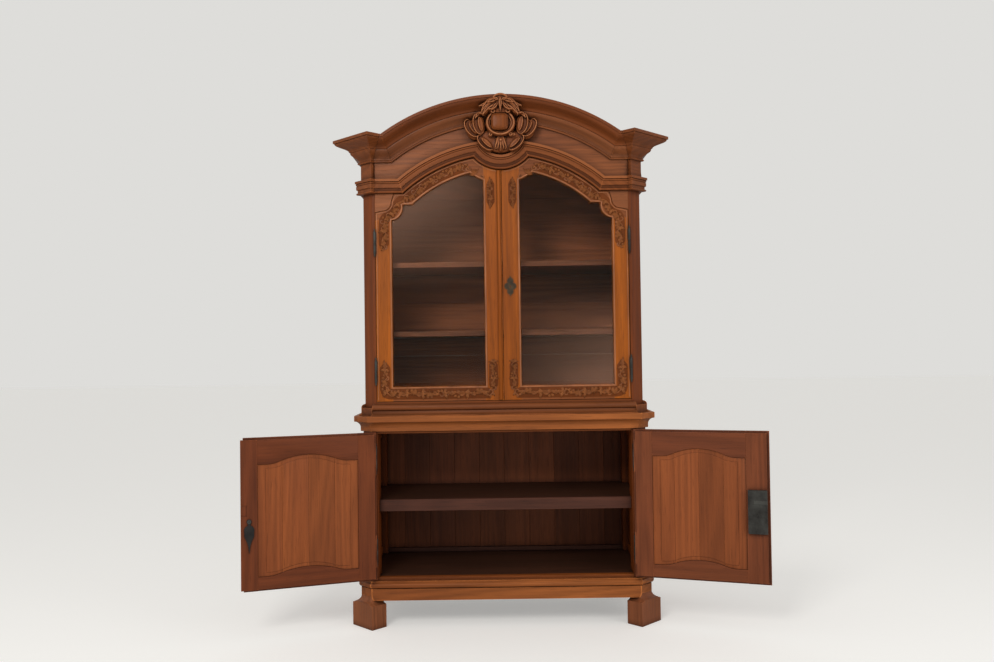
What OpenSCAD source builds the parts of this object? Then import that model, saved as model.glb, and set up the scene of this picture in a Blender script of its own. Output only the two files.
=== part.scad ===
/* [Carcass] */
// Half width of the lower body, to the outer face of a side
lower_half = 640; // [600:5:700]
// Half width of the upper body, to the outer face of a side
upper_half = 630; // [600:5:690]
// Depth of both bodies, front face to the back of the boards
depth = 540; // [480:5:620]
// Width in plan of the canted corner of the lower body
lower_cant = 45; // [30:1:60]
// Width in plan of the canted corner of the upper body
upper_cant = 46; // [30:1:60]
// Width of a lower front post, cant included
lower_post_w = 70; // [60:1:90]
// Width of an upper front post, cant included
upper_post_w = 58; // [52:1:80]
// Thickness of the carcass boards
board_t = 22; // [16:1:28]
// Thickness of the back boards
back_t = 18; // [12:1:24]
// Depth of the front posts
post_d = 90; // [60:1:120]
// Width and depth of the rear posts
rear_post = 50; // [40:1:60]
// Width and depth of the rear feet
rear_foot = 90; // [70:1:110]
// Thickness of the side rails
side_rail_t = 28; // [22:1:34]
// Thickness of the side panels
side_panel_t = 16; // [10:1:20]
// Nominal width of one back board
back_board_w = 128; // [90:1:220]

/* [Heights] */
// Height of the front feet up to their neck
foot_h = 137; // [110:1:160]
// Underside of the base moulding
apron_z = 120; // [112:1:126]
// Bottom of the lower door opening
lower_open_z0 = 220; // [212:1:235]
// Top of the lower door opening
lower_open_z1 = 862; // [800:1:900]
// Top of the middle shelf
shelf_z = 558; // [500:1:600]
// Height of the thick front edge of the middle shelf
shelf_lip_h = 52; // [40:1:60]
// Top of the lower body
waist_z = 941; // [921:1:980]
// Bottom of the glazed door opening
upper_open_z0 = 1003; // [996:1:1020]
// Top of the lower glass shelf
upper_shelf_a = 1320; // [1250:1:1400]
// Top of the upper glass shelf
upper_shelf_b = 1637; // [1560:1:1720]
// Height where the straight part of the cornice begins
spring_z = 1943; // [1930:1:1990]

/* [Cornice] */
// Distance from the side of the upper body to the foot of the arch
arch_inset = 187; // [170:1:210]
// Radius of the lower edge of the arch
arch_r = 663; // [650:1:690]
// Full height of the cornice, architrave to crown
cornice_h = 251; // [235:1:265]
// Height of the architrave
architrave_h = 63; // [50:1:70]
// Distance from the foot of the cornice to the bed mould
bed_s = 139; // [125:1:146]
// Distance from the foot of the cornice to the crown mould
crown_s = 195; // [188:1:206]
// Projection of the crown mould
crown_p = 90; // [70:1:110]
// Projection of the bed mould
bed_p = 34; // [26:1:40]
// Projection of the architrave
architrave_p = 20; // [14:1:24]
// How far the drop under the cartouche hangs below the arch
drop_fall = 68; // [50:1:80]
// Radius of the drop under the cartouche
drop_r = 164; // [150:1:175]
// Half width of the block over each canted corner
corner_half = 38; // [34:1:42]
// Distance that the corner block stands in front of the canted face
corner_proud = 8; // [4:1:14]

/* [Mouldings] */
// Projection of the top fillet of the waist moulding
waist_p = 40; // [30:1:50]
// Height of the waist moulding
waist_h = 69; // [60:1:75]
// Projection of the base moulding
base_p = 25; // [18:1:32]
// Projection of the plain board under the base moulding
plinth_p = 15; // [10:1:16]
// Projection of the moulding under the glazed doors
upper_base_p = 30; // [22:1:36]
// Height of the moulding under the glazed doors
upper_base_h = 51; // [44:1:52]

/* [Lower doors] */
// Angle at which the lower doors stand open
door_open = 162; // [140:1:172]
// Thickness of the part of a door inside its opening
door_inner_t = 15; // [12:1:20]
// Thickness of the lip that covers the frame
lip_t = 10; // [8:1:12]
// Overlap of the lip on the frame
lip_over = 8; // [5:1:10]
// Reach of the right door's lip past the middle
lip_reach = 3; // [0:1:6]
// Clearance round the doors
door_gap = 2; // [1.5:0.5:3]
// Clearance between a closed door's lip and the frame
lip_gap = 0.3; // [0.2:0.1:0.6]
// Distance from the foot of the opening to the lower hinge
lower_hinge_low = 65; // [50:1:90]
// Distance from the top of the opening to the upper hinge
lower_hinge_high = 57; // [45:1:90]
// Width of the hinge stile on its inner face
hinge_stile_w = 73; // [60:1:85]
// Width of the left door's free stile on its inner face
left_stile_w = 69; // [60:1:85]
// Width of the right door's free stile on its inner face
right_stile_w = 86; // [84:1:100]
// Height of the top rail at its ends
top_rail_h = 108; // [95:1:120]
// Rise of the arch of the top rail
top_rise = 35; // [20:1:45]
// Height of the bottom rail at its ends
bottom_rail_h = 55; // [45:1:70]
// Rise of the arch of the bottom rail
bottom_rise = 29; // [15:1:35]
// Number of boards in a door panel
panel_boards = 4; // [3:1:6]

/* [Glazed doors] */
// Thickness of the glazed doors
glazed_t = 25; // [22:1:30]
// Gap between a glazed door and its opening
glazed_gap = 2.5; // [2:0.5:3.5]
// Width of the outer stile
outer_stile_w = 74; // [64:1:84]
// Distance from the middle to the inner edge of a meeting stile
meeting_x = 80; // [70:1:95]
// Height of the bottom rail
glazed_rail_h = 66; // [56:1:80]
// Width of the arched top rail
arch_rail_w = 64; // [54:1:72]
// Thickness of the glass
glass_t = 3; // [2:0.5:4]
// Distance from the foot of the glazed doors to their lower hinge
upper_hinge_low = 87; // [70:1:120]
// Distance from the top of their hinge stile to the upper hinge
upper_hinge_high = 173; // [150:1:200]
// Height of the keyhole above the foot of the glazed doors
key_rise = 514; // [480:1:540]
// Depth of the rebate that holds the glass
rebate = 8; // [6:1:10]

/* [Hinges and locks] */
// Length of a lower barrel hinge
lower_hinge_h = 110; // [90:2:130]
// Length of an upper barrel hinge
upper_hinge_h = 100; // [80:2:120]
// Radius of the lower barrels
lower_barrel_r = 6.5; // [5.5:0.25:7]
// Radius of the upper barrels
upper_barrel_r = 5.5; // [4.5:0.25:5.5]
// Radius of the hinge pins
pin_r = 3.2; // [2.5:0.1:3.6]
// Distance from the front face to the axis of the lower hinges
lower_axis_out = 9; // [8.5:0.5:11]
// Distance from the front face to the axis of the upper hinges
upper_axis_out = 7; // [6.5:0.5:9]
// Width, height and thickness of the lower lock
lower_lock = [80, 185, 16]; // [10:1:200]
// Width, height and thickness of the upper lock
upper_lock = [60, 92, 14]; // [10:1:120]
// Travel of the lock bolts
bolt_travel = 12; // [8:1:14]
// Width of the leaf-shaped latch
latch_w = 42; // [34:1:46]
// Height of the lower lock's bolt above the foot of the opening
keeper_rise = 340; // [300:5:360]

/* [Hidden] */
$fn = 96;

big = 3000;
hair = 0.2;
hinge_gap = 0.3;
seat_gap = 0.3;
pin_play = 0.05;
leaf_t = 3;
leaf_w = 25;
leaf_end = 2;
lower_leaf_side = 0.6;
upper_leaf_side = 1;
barrel_skin = 1;
front_rail_t = 30;
batten_h = 20;
roof_t = 20;
panel_recess = 6;
panel_margin = 40;
upper_rail_t = 25;
inner_back = depth - back_t;
lower_open_half = lower_half - lower_post_w;
upper_open_half = upper_half - upper_post_w;
arch_half = upper_half - arch_inset;
arch_z = spring_z - sqrt(arch_r * arch_r - arch_half * arch_half);
drop_z = arch_z + arch_r - drop_fall + drop_r;
rail_h = 120;
foot_half = 71;
foot_back = 41;
foot_front = 40;
waist_z0 = waist_z - waist_h;
top_board_z = waist_z - board_t;
floor_z = upper_open_z0 - board_t;
roof_s = 187;
roof_z = spring_z + roof_s;
roof_top = roof_z + roof_t;
head_t = 25;
bearer_h = 32;
bearer_w = 26;
shelf_t = 24;
shelf_front = 45;
upper_shelf_front = 74;

lower_axis_x = lower_open_half + lip_over;
upper_axis_x = upper_open_half + 1;
inner_face = door_inner_t;
tongue_reach = lip_reach + lip_t * tan(180 - door_open);
free_edge = tongue_reach + door_gap;
lock_edge = free_edge + 0.5;

front_y = -lower_axis_out - (lower_axis_x - lock_edge) * sin(180 - door_open)
    - (lower_axis_out + inner_face + lower_lock[2]) * cos(180 - door_open);
box_mid_y = (depth + front_y) / 2;

lower_hinges = [lower_open_z0 + lower_hinge_low, lower_open_z1 - lower_hinge_high - lower_hinge_h];
upper_hinges = [upper_open_z0 + upper_hinge_low, spring_z - upper_hinge_high - upper_hinge_h];

lower_plan = body_plan(lower_half, lower_cant);
upper_plan = body_plan(upper_half, upper_cant);

function body_plan(half, cant) = [
    [-half, depth], [-half, cant], [cant - half, 0],
    [half - cant, 0], [half, cant], [half, depth]];
function right_of(a, b) = [b[1] - a[1], a[0] - b[0]] / norm(b - a);
function mitre(a, b, c) =
    let (n = right_of(a, b), m = right_of(b, c)) (n + m) / (1 + n * m);
// Points of a cyma between two corners of a profile, along s with projection p
function cyma(s0, p0, s1, p1) = [for (i = [0 : 8])
    [s0 + (s1 - s0) * i / 8, p0 + (p1 - p0) * (0.5 - cos(180 * i / 8) / 2)]];

module place() { translate([0, -box_mid_y, 0]) children(); }
module both_sides() {
    children();
    mirror([1, 0, 0]) children();
}
module block(x0, x1, y0, y1, z0, z1) { translate([x0, y0, z0]) cube([x1 - x0, y1 - y0, z1 - z0]); }
// A flat shape drawn in x and z, given thickness from y0 to y1
module slab(y0, y1) { translate([0, y1, 0]) rotate([90, 0, 0]) linear_extrude(y1 - y0) children(); }
module window(x0, x1, z0, z1) { translate([x0, z0]) square([x1 - x0, z1 - z0]); }

// Mitred lengths of moulding round a plan; the profile is drawn as height and projection
module mitred(plan, pieces, reach, z0, z1) {
    last = len(plan) - 1;
    for (i = pieces) {
        a = plan[i];
        b = plan[i + 1];
        n = right_of(a, b);
        along = (b - a) / norm(b - a);
        ma = i == 0 ? n : mitre(plan[i - 1], a, b);
        mb = i + 1 == last ? n : mitre(a, b, plan[i + 2]);
        shift = along * hair / 2;
        intersection() {
            translate([0, 0, z0]) linear_extrude(z1 - z0)
                polygon([a + shift, b - shift, b - shift + mb * reach, a + shift + ma * reach]);
            translate(a - along * reach) rotate([0, 0, atan2(along[1], along[0])])
                straight(norm(b - a) + 2 * reach) children();
        }
    }
}
// A profile (height, projection) run along x with its projection towards the viewer
module straight(length) {
    mirror([0, 1, 0]) rotate([90, 0, 90]) linear_extrude(length) mirror([1, -1, 0]) children();
}

// Feet

module foot_shape() {
    neck = lower_cant / sqrt(2) + plinth_p * tan(22.5);
    cant_mid = lower_half - lower_cant / 2;
    translate([cant_mid, lower_cant / 2, 0]) rotate([0, 0, 45]) intersection() {
        slab(-foot_front, foot_back) difference() {
            window(-foot_half, foot_half, 0, foot_h);
            translate([foot_half, foot_h]) circle(foot_half - neck);
            translate([-foot_half, foot_h]) circle(foot_half - neck);
        }
        rotate([0, 0, 90]) slab(-foot_half, foot_half) difference() {
            window(-foot_front, foot_back, 0, foot_h);
            translate([-foot_front, foot_h]) circle(foot_front - plinth_p);
        }
    }
}
module front_feet() { color("peru") place() both_sides() foot_shape(); }
module rear_feet() {
    color("peru") place() both_sides()
        block(lower_half - rear_foot, lower_half, depth - rear_foot, depth, 0, foot_h);
}

// Lower body

module lower_post_shape() {
    translate([0, 0, foot_h]) linear_extrude(top_board_z - foot_h) polygon([
        [lower_open_half, 0], [lower_half - lower_cant, 0], [lower_half, lower_cant],
        [lower_half, post_d], [lower_open_half, post_d]]);
}
module rear_post_shape(half, z0, z1) {
    block(half - rear_post, half, inner_back - rear_post, inner_back, z0, z1);
}
module lower_fixed_leaves() {
    for (z = lower_hinges)
        block(lower_axis_x + lower_leaf_side, lower_axis_x + lower_leaf_side + leaf_t,
            -lower_axis_out, leaf_w - lower_axis_out, z + leaf_end, z + lower_hinge_h / 2 - leaf_end);
}
module lower_posts() {
    color("sienna") place() both_sides() {
        difference() {
            lower_post_shape();
            lower_fixed_leaves();
        }
        rear_post_shape(lower_half, foot_h, top_board_z);
    }
}
module side_rail_shape(half, z0, z1) {
    block(half - side_rail_t, half, post_d, inner_back - rear_post, z0, z1);
}
module side_panel_shape(half, z0, z1) {
    face = half - panel_recess;
    margin = panel_margin;
    field_t = 4;
    block(face - side_panel_t, face - field_t, post_d, inner_back - rear_post, z0, z1);
    block(face - field_t - 1, face, post_d + margin, inner_back - rear_post - margin,
        z0 + margin, z1 - margin);
}
module lower_side_rails() {
    color("sienna") place() both_sides() {
        side_rail_shape(lower_half, foot_h, foot_h + rail_h);
        side_rail_shape(lower_half, top_board_z - rail_h, top_board_z);
    }
}
module lower_side_panels() {
    color("chocolate") place() both_sides()
        side_panel_shape(lower_half, foot_h + rail_h, top_board_z - rail_h);
}
module lower_front_rails() {
    color("sienna") place() {
        block(-lower_open_half, lower_open_half, 0, front_rail_t, foot_h, lower_open_z0);
        block(-lower_open_half, lower_open_half, 0, front_rail_t, lower_open_z1, top_board_z);
    }
}
// A plain board with a torus and a fillet over it
module base_profile() {
    board_h = 50;
    torus_h = 36;
    torus_r = 15;
    fillet_h = 4;
    fillet_back = 9;
    torus_z = apron_z + board_h;
    top = torus_z + torus_h;
    window(apron_z, torus_z + 1, 0, plinth_p);
    window(torus_z, top, 0, base_p - torus_r);
    translate([torus_z + torus_h / 2, base_p - torus_r]) circle(torus_r);
    window(top - fillet_h, top, 0, base_p - fillet_back);
}
module base_moulding() {
    color("sienna") place() difference() {
        mitred(lower_plan, [0 : 4], base_p + 2, apron_z, lower_open_z0) base_profile();
        both_sides() foot_shape();
        both_sides() block(lower_half - rear_foot, 2 * lower_half, depth - rear_foot, depth + 1, 0, foot_h);
    }
}
// The plan of a board that fits round the posts of a body
module inner_board(half, open_half, y0, z0, z1) {
    difference() {
        block(side_rail_t - half, half - side_rail_t, y0, inner_back, z0, z1);
        both_sides() block(open_half, half, -1, post_d, z0 - 1, z1 + 1);
        both_sides() rear_post_shape(half, z0 - 1, z1 + 1);
    }
}
module bottom_board() {
    color("saddlebrown") place()
        inner_board(lower_half, lower_open_half, front_rail_t, lower_open_z0 - board_t, lower_open_z0);
}
module middle_shelf() {
    color("saddlebrown") place()
        inner_board(lower_half, lower_open_half, shelf_front + board_t, shelf_z - shelf_t, shelf_z);
}
module shelf_lip() {
    color("rosybrown") place() block(-lower_open_half, lower_open_half, shelf_front,
        shelf_front + board_t, shelf_z - shelf_lip_h, shelf_z);
}
module side_bearer(half, top) {
    face = half - panel_recess - side_panel_t;
    block(face - bearer_w, face, post_d, inner_back - rear_post, top - bearer_h, top);
}
module lower_battens() {
    color("saddlebrown") place() {
        both_sides() side_bearer(lower_half, shelf_z - shelf_t);
        block(rear_post - lower_half, lower_half - rear_post,
            inner_back - board_t, inner_back, lower_open_z0, lower_open_z0 + batten_h);
    }
}
back_inset = 10;
module lower_back_boards() {
    half = lower_half - back_inset;
    count = max(1, round(2 * half / back_board_w));
    pitch = 2 * half / count;
    color("saddlebrown") place() for (i = [0 : count - 1])
        block(i * pitch - half + hair / 2, (i + 1) * pitch - half - hair / 2,
            inner_back, depth, foot_h, top_board_z);
}
module lower_top_board() {
    color("sienna") place() translate([0, 0, top_board_z]) linear_extrude(board_t) polygon(lower_plan);
}
// A fillet, a cove that runs out over it, and the square edge of the ledge
module waist_profile() {
    fillet_h = 15;
    fillet_p = 12;
    cove_r = waist_p - fillet_p;
    window(waist_z0, waist_z0 + fillet_h + 1, 0, fillet_p);
    difference() {
        window(waist_z0 + fillet_h, waist_z, 0, waist_p);
        translate([waist_z0 + fillet_h, waist_p]) circle(cove_r);
    }
}
module waist_moulding() {
    color("sienna") place() mitred(lower_plan, [0 : 4], waist_p + 2, waist_z0, waist_z) waist_profile();
}

// Barrel hinges

// The turned end of a barrel, in shares of the barrel's radius
neck_r = 0.55;
neck_h = 1.2;
ball_z = 1.5;
ball_r = 0.75;
function finial(r) = (ball_z + ball_r) * r;
pin_cover = 5;
module barrel(r, z0, z1) { translate([0, 0, z0]) cylinder(r = r, h = z1 - z0); }
module fixed_knuckle(r, z, h) {
    barrel(r, z, z + h / 2);
    barrel(pin_r, z, z + h - pin_cover - 1);
    barrel(r * neck_r, z - r * neck_h, z + 1);
    translate([0, 0, z - r * ball_z]) sphere(r * ball_r);
}
module turning_knuckle(r, z, h) {
    difference() {
        barrel(r, z + h / 2 + hinge_gap, z + h);
        barrel(pin_r + pin_play, z, z + h - pin_cover);
    }
    barrel(r * neck_r, z + h - 1, z + h + r * neck_h);
    translate([0, 0, z + h + r * ball_z]) sphere(r * ball_r);
}
module lower_hinge_pins() {
    color("dimgray") place() both_sides() {
        for (z = lower_hinges) translate([lower_axis_x, -lower_axis_out, 0])
            fixed_knuckle(lower_barrel_r, z, lower_hinge_h);
        difference() {
            lower_fixed_leaves();
            for (z = lower_hinges) translate([lower_axis_x, -lower_axis_out, 0])
                barrel(lower_barrel_r - barrel_skin, z, z + lower_hinge_h);
        }
    }
}
module upper_fixed_leaves() {
    for (z = upper_hinges)
        block(upper_axis_x + upper_leaf_side, upper_axis_x + upper_leaf_side + leaf_t,
            -upper_axis_out, leaf_w - upper_axis_out, z + leaf_end, z + upper_hinge_h / 2 - leaf_end);
}
module upper_hinge_pins() {
    color("dimgray") place() both_sides() {
        for (z = upper_hinges) translate([upper_axis_x, -upper_axis_out, 0])
            fixed_knuckle(upper_barrel_r, z, upper_hinge_h);
        difference() {
            upper_fixed_leaves();
            for (z = upper_hinges) translate([upper_axis_x, -upper_axis_out, 0])
                barrel(upper_barrel_r - barrel_skin, z, z + upper_hinge_h);
        }
    }
}

// Upper body

// A fillet and a cove that die into a flat round under the doors
module upper_base_profile() {
    fillet_h = 4;
    cove_p = 12;
    cove_r = upper_base_p - cove_p;
    round_r = 16;
    round_p = 2;
    difference() {
        window(waist_z, waist_z + fillet_h + cove_r, 0, upper_base_p);
        translate([waist_z + fillet_h + cove_r, upper_base_p]) circle(cove_r);
    }
    translate([waist_z + upper_base_h - round_r + 1, round_p]) circle(round_r);
    window(waist_z + cove_r + 2, waist_z + upper_base_h - round_p, 0, cove_p - fillet_h);
}
module upper_base_moulding() {
    block_h = upper_base_h - 15;
    block_p = 0.6 * upper_base_p;
    color("sienna") place() {
        mitred(upper_plan, [0, 2, 4], upper_base_p + 2, waist_z, waist_z + upper_base_h)
            upper_base_profile();
        mitred(upper_plan, [1, 3], block_p + 2, waist_z, waist_z + block_h)
            window(waist_z, waist_z + block_h, 0, block_p);
    }
}
module upper_post_shape() {
    translate([0, 0, waist_z]) linear_extrude(roof_z - waist_z) polygon([
        [upper_open_half, 0], [upper_half - upper_cant, 0], [upper_half, upper_cant],
        [upper_half, post_d], [upper_open_half, post_d]]);
}
module upper_posts() {
    color("sienna") place() both_sides() {
        difference() {
            upper_post_shape();
            upper_fixed_leaves();
        }
        rear_post_shape(upper_half, waist_z, roof_z);
    }
}
module upper_side_rails() {
    color("sienna") place() both_sides() {
        side_rail_shape(upper_half, waist_z, waist_z + rail_h);
        side_rail_shape(upper_half, roof_z - rail_h, roof_z);
    }
}
module upper_side_panels() {
    color("chocolate") place() both_sides()
        side_panel_shape(upper_half, waist_z + rail_h, roof_z - rail_h);
}
module upper_bottom_rail() {
    color("sienna") place()
        block(-upper_open_half, upper_open_half, 0, upper_rail_t, waist_z, upper_open_z0);
}
module upper_floor_board() {
    color("saddlebrown") place() difference() {
        inner_board(upper_half, upper_open_half, upper_rail_t, floor_z, upper_open_z0);
        translate([-foot_bolt_x, foot_bolt_y, floor_z - 1]) cylinder(r = foot_bolt_r + 1, h = board_t + 2);
    }
}
module upper_shelves() {
    color("saddlebrown") place() for (top = [upper_shelf_a, upper_shelf_b])
        inner_board(upper_half, upper_open_half, upper_shelf_front, top - shelf_t, top);
}
module upper_bearers() {
    color("saddlebrown") place() both_sides() for (top = [upper_shelf_a, upper_shelf_b])
        side_bearer(upper_half, top - shelf_t);
}
module upper_back_boards() {
    count = round((roof_z - waist_z) / back_board_w);
    pitch = (roof_z - waist_z) / count;
    color("saddlebrown") place() for (i = [0 : count - 1])
        block(-upper_half, upper_half, inner_back, depth,
            waist_z + i * pitch + (i == 0 ? 0 : hair / 2), waist_z + (i + 1) * pitch - hair / 2);
}
module roof_board() {
    color("saddlebrown") place() difference() {
        translate([0, 0, roof_z]) linear_extrude(roof_top - roof_z) polygon(upper_plan);
        block(-upper_open_half, upper_open_half, -1, head_t, roof_z - 1, roof_top + 1);
    }
}

// The doorway of the glazed doors, drawn in x and z; the inset g shrinks it on every side
ear_r = 39;
ear_in = 34;
ear = [upper_open_half - ear_in, spring_z - ear_r];
ear_fall = 20;
ear_flare = [[8, 26], [13, ear_r]];
module ear_shape(g) {
    beyond = [upper_open_half + architrave_h, spring_z + architrave_h];
    left = ear[0] - ear_r - g;
    low = ear[1] - ear_r - g;
    translate(ear) circle(ear_r + g);
    polygon([[ear[0], low], [beyond[0], low - ear_fall], beyond, [ear[0], beyond[1]]]);
    polygon([
        [ear[0] + 1, ear[1]], [left, ear[1]], [left - ear_flare[0][0], ear[1] + ear_flare[0][1]],
        [left - ear_flare[1][0], ear[1] + ear_flare[1][1]], [left - ear_flare[1][0], beyond[1]],
        [ear[0] + 1, beyond[1]]]);
}
module doorway(g) {
    difference() {
        union() {
            window(g - upper_open_half, upper_open_half - g, upper_open_z0 + g, spring_z - g);
            intersection() {
                translate([0, arch_z]) circle(arch_r - g);
                window(-upper_open_half, upper_open_half, spring_z - 40, big);
            }
        }
        translate([0, drop_z]) circle(drop_r + g);
        both_sides() ear_shape(g);
    }
}
head_tail = 14;
head_inset = 5;
module head_board() {
    color("sienna") place() slab(0, head_t) difference() {
        union() {
            window(hair - upper_open_half, upper_open_half - hair,
                ear[1] - ear_r - head_tail, spring_z + cornice_h - 2 * head_inset);
            intersection() {
                translate([0, arch_z]) circle(arch_r + cornice_h - head_inset);
                window(-junction_x, junction_x, spring_z, big);
            }
        }
        doorway(0);
    }
}

// Cornice; every profile is drawn as distance from the architrave's lower edge and projection

junction_x = sqrt(pow(arch_r + cornice_h, 2) - pow(spring_z + cornice_h - arch_z, 2));
// Corner of the mitre between the arch and the drop, at distance s up the profile
function drop_join(s) = let (a = arch_r + s, d = drop_r - s,
        z = (a * a - d * d + drop_z * drop_z - arch_z * arch_z) / (2 * (drop_z - arch_z)))
    [sqrt(d * d - pow(drop_z - z, 2)), z];
// A bead, a stepped flat, a second bead and the top fillet
module architrave_profile() {
    bead_r = 5;
    flat_s = 22;
    fillet_s = architrave_h - 11;
    ground = architrave_p - 9;
    translate([bead_r, ground]) circle(bead_r);
    window(0, architrave_h, 0, ground);
    window(flat_s, architrave_h, 0, ground + 3);
    window(flat_s + 2, flat_s + 18, 0, ground + 5);
    translate([fillet_s - bead_r, ground]) circle(bead_r + 1);
    window(fillet_s, architrave_h, 0, architrave_p);
}
// A small bead with a cyma over it
module bed_profile() {
    bead_p = 8;
    quirk_p = bead_p / 2;
    bead = [[0, 0], [0, bead_p], [4, bead_p + 3], [9, bead_p], [11, quirk_p]];
    polygon(concat([for (b = bead) [bed_s + b[0], b[1]]],
        cyma(bed_s + 14, quirk_p, crown_s - 4, bed_p), [[crown_s - hair, bed_p], [crown_s - hair, 0]]));
}
// A cyma under the top fillet
module crown_profile() {
    fillet_h = 13;
    fillet_p = 5;
    step = 3;
    top = cornice_h - fillet_h;
    polygon(concat([[crown_s, 0], [crown_s, bed_p + 2]],
        cyma(crown_s + step, bed_p + 4, top - step, crown_p - fillet_p),
        [[top, crown_p - fillet_p], [top, crown_p], [cornice_h, crown_p], [cornice_h, 0]]));
}
module all_profiles() {
    window(0, cornice_h, -1, 0);
    architrave_profile();
    bed_profile();
    crown_profile();
}
// The two sides of the sloping mitre between the arch and the straight cornice
slope = [junction_x - arch_half, cornice_h];
mitre_foot = [arch_half, spring_z] - slope * 0.2;
mitre_head = [junction_x, spring_z + cornice_h] + slope * 0.2;
cut = [hair / 2, 0];
module arch_side() {
    crest = 2 * mitre_head[1] - spring_z;
    slab(-1.2 * crown_p, 1) polygon([
        mitre_foot - cut, mitre_head - cut, [0, crest],
        [hair / 2 - mitre_head[0], mitre_head[1]], [hair / 2 - mitre_foot[0], mitre_foot[1]]]);
}
module flat_side() {
    slab(-1.2 * crown_p, 1) polygon([mitre_foot + cut, [upper_half, mitre_foot[1]],
        [upper_half, mitre_head[1]], mitre_head + cut]);
}
// Where the return of a corner block leaves the front and the side, with its inner mitre
return_x = upper_half - corner_half * sqrt(2);
return_y = corner_half * sqrt(2);
lean = tan(22.5);
deep = crown_p * 3;
module level(points) {
    translate([0, 0, spring_z - 10]) linear_extrude(cornice_h + 20) polygon(points);
}
module arch_run() {
    intersection() {
        translate([0, 0, arch_z]) rotate([90, 0, 0]) rotate([0, 0, 30])
            rotate_extrude(angle = 120, $fn = 360) translate([arch_r, 0]) children();
        arch_side();
    }
}
module flat_run() {
    intersection() {
        translate([mitre_foot[0] - hair, 0, spring_z]) straight(upper_half - arch_half) children();
        flat_side();
        level([[0, 1], [return_x - hair, 1], [return_x - hair - lean * deep, -deep], [0, -deep]]);
    }
}
module side_run() {
    intersection() {
        translate([upper_half, 0, spring_z]) rotate([0, 0, 90]) straight(depth) children();
        level([[upper_half - 1, return_y + hair], [upper_half + deep, return_y + hair + lean * deep],
            [upper_half + deep, depth], [upper_half - 1, depth]]);
    }
}
module corner_stack() {
    cant_mid = upper_half - upper_cant / 2;
    reach = corner_half + 1.2 * crown_p;
    translate([cant_mid, upper_cant / 2, spring_z]) rotate([0, 0, 45]) intersection() {
        slab(-reach, reach) union() {
            mirror([1, -1]) translate([0, corner_half]) all_profiles();
            mirror([1, 0]) mirror([1, -1]) translate([0, corner_half]) all_profiles();
            window(-corner_half, corner_half, 0, cornice_h);
        }
        translate([-reach, 0, 0]) straight(2 * reach) union() {
            translate([0, corner_proud]) all_profiles();
            window(0, cornice_h, -reach, corner_proud);
        }
    }
}
module corner_blocks() {
    color("peru") place() both_sides() intersection() {
        corner_stack();
        level([[return_x + cut[0], 0], [upper_half - upper_cant, 0], [upper_half, upper_cant],
            [upper_half, return_y - cut[0]], [upper_half + deep, return_y - cut[0] + lean * deep],
            [upper_half + deep, -deep], [return_x + cut[0] - lean * deep, -deep]]);
    }
}
// The region of the drop, up to its mitres with the arch
module drop_side(shift) {
    rise = drop_join(architrave_h) - drop_join(0);
    low = drop_join(0) - rise + [shift, 0];
    high = drop_join(architrave_h) + rise * 0.3 + [shift, 0];
    slab(-3 * architrave_p, 1) polygon([[-low[0], low[1]], low, high, [-high[0], high[1]]]);
}
module architrave() {
    color("peru") place() {
        difference() {
            arch_run() architrave_profile();
            drop_side(hair / 2);
        }
        intersection() {
            translate([0, 0, drop_z]) rotate([90, 0, 0]) rotate_extrude($fn = 180)
                translate([drop_r, 0]) mirror([1, 0]) architrave_profile();
            drop_side(-hair / 2);
        }
        both_sides() flat_run() architrave_profile();
    }
}
module bed_moulding() {
    color("peru") place() {
        arch_run() bed_profile();
        both_sides() flat_run() bed_profile();
    }
}
module crown_moulding() {
    color("peru") place() {
        arch_run() crown_profile();
        both_sides() flat_run() crown_profile();
    }
}
module side_cornices() {
    color("peru") place() both_sides() {
        side_run() architrave_profile();
        side_run() bed_profile();
        side_run() crown_profile();
    }
}

// The carved cartouche over the middle of the arch, as its main lobes. They are shares of the
// cornice's height: how far out and how far below its crest, the radius, and how far it stands out

lobe_unit = cornice_h / 100;
carve_crest = arch_z + arch_r + cornice_h;
module boss(x, down, r, proud) {
    translate([x * lobe_unit, 0, carve_crest - down * lobe_unit]) rotate([90, 0, 0])
        cylinder(r = r * lobe_unit, h = proud * lobe_unit);
}
module tablet(half, top, low, proud) {
    block(-half * lobe_unit, half * lobe_unit, -proud * lobe_unit, 0,
        carve_crest - low * lobe_unit, carve_crest - top * lobe_unit);
}
module cartouche() {
    color("burlywood") place() difference() {
        union() {
            boss(0, 53.4, 25.5, 31.1);
            tablet(15.5, 39.8, 68.5, 33.4);
            both_sides() {
                boss(35, 54.2, 15.2, 26.3);
                boss(50.2, 62.9, 15.2, 21.5);
                boss(22.3, 86.9, 16.8, 19.1);
                boss(23.1, 23.9, 11.1, 39.9);
            }
            boss(0, 91.7, 14.3, 17.5);
            boss(0, 15.2, 16.7, 44.7);
            tablet(31.8, 54.2, 86, 17.5);
        }
        arch_run() union() {
            window(crown_s - 60, cornice_h, -1, 1);
            bed_profile();
            crown_profile();
        }
        slab(-architrave_p - hair, 1) difference() {
            translate([0, arch_z]) circle(arch_r + architrave_h + hair, $fn = 360);
            translate([0, drop_z]) circle(drop_r - architrave_h - hair, $fn = 180);
        }
    }
}

// Lower doors, drawn closed; the right door spans from the middle to the right hinge

module swing_left() {
    translate([-lower_axis_x, -lower_axis_out, 0]) rotate([0, 0, -door_open])
        translate([lower_axis_x, lower_axis_out, 0]) children();
}
module swing_right() {
    translate([lower_axis_x, -lower_axis_out, 0]) rotate([0, 0, door_open])
        translate([-lower_axis_x, lower_axis_out, 0]) children();
}
camel_end = 40;
camel_turn = 0.3;
groove_t = 6;
groove_d = 10;
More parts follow.
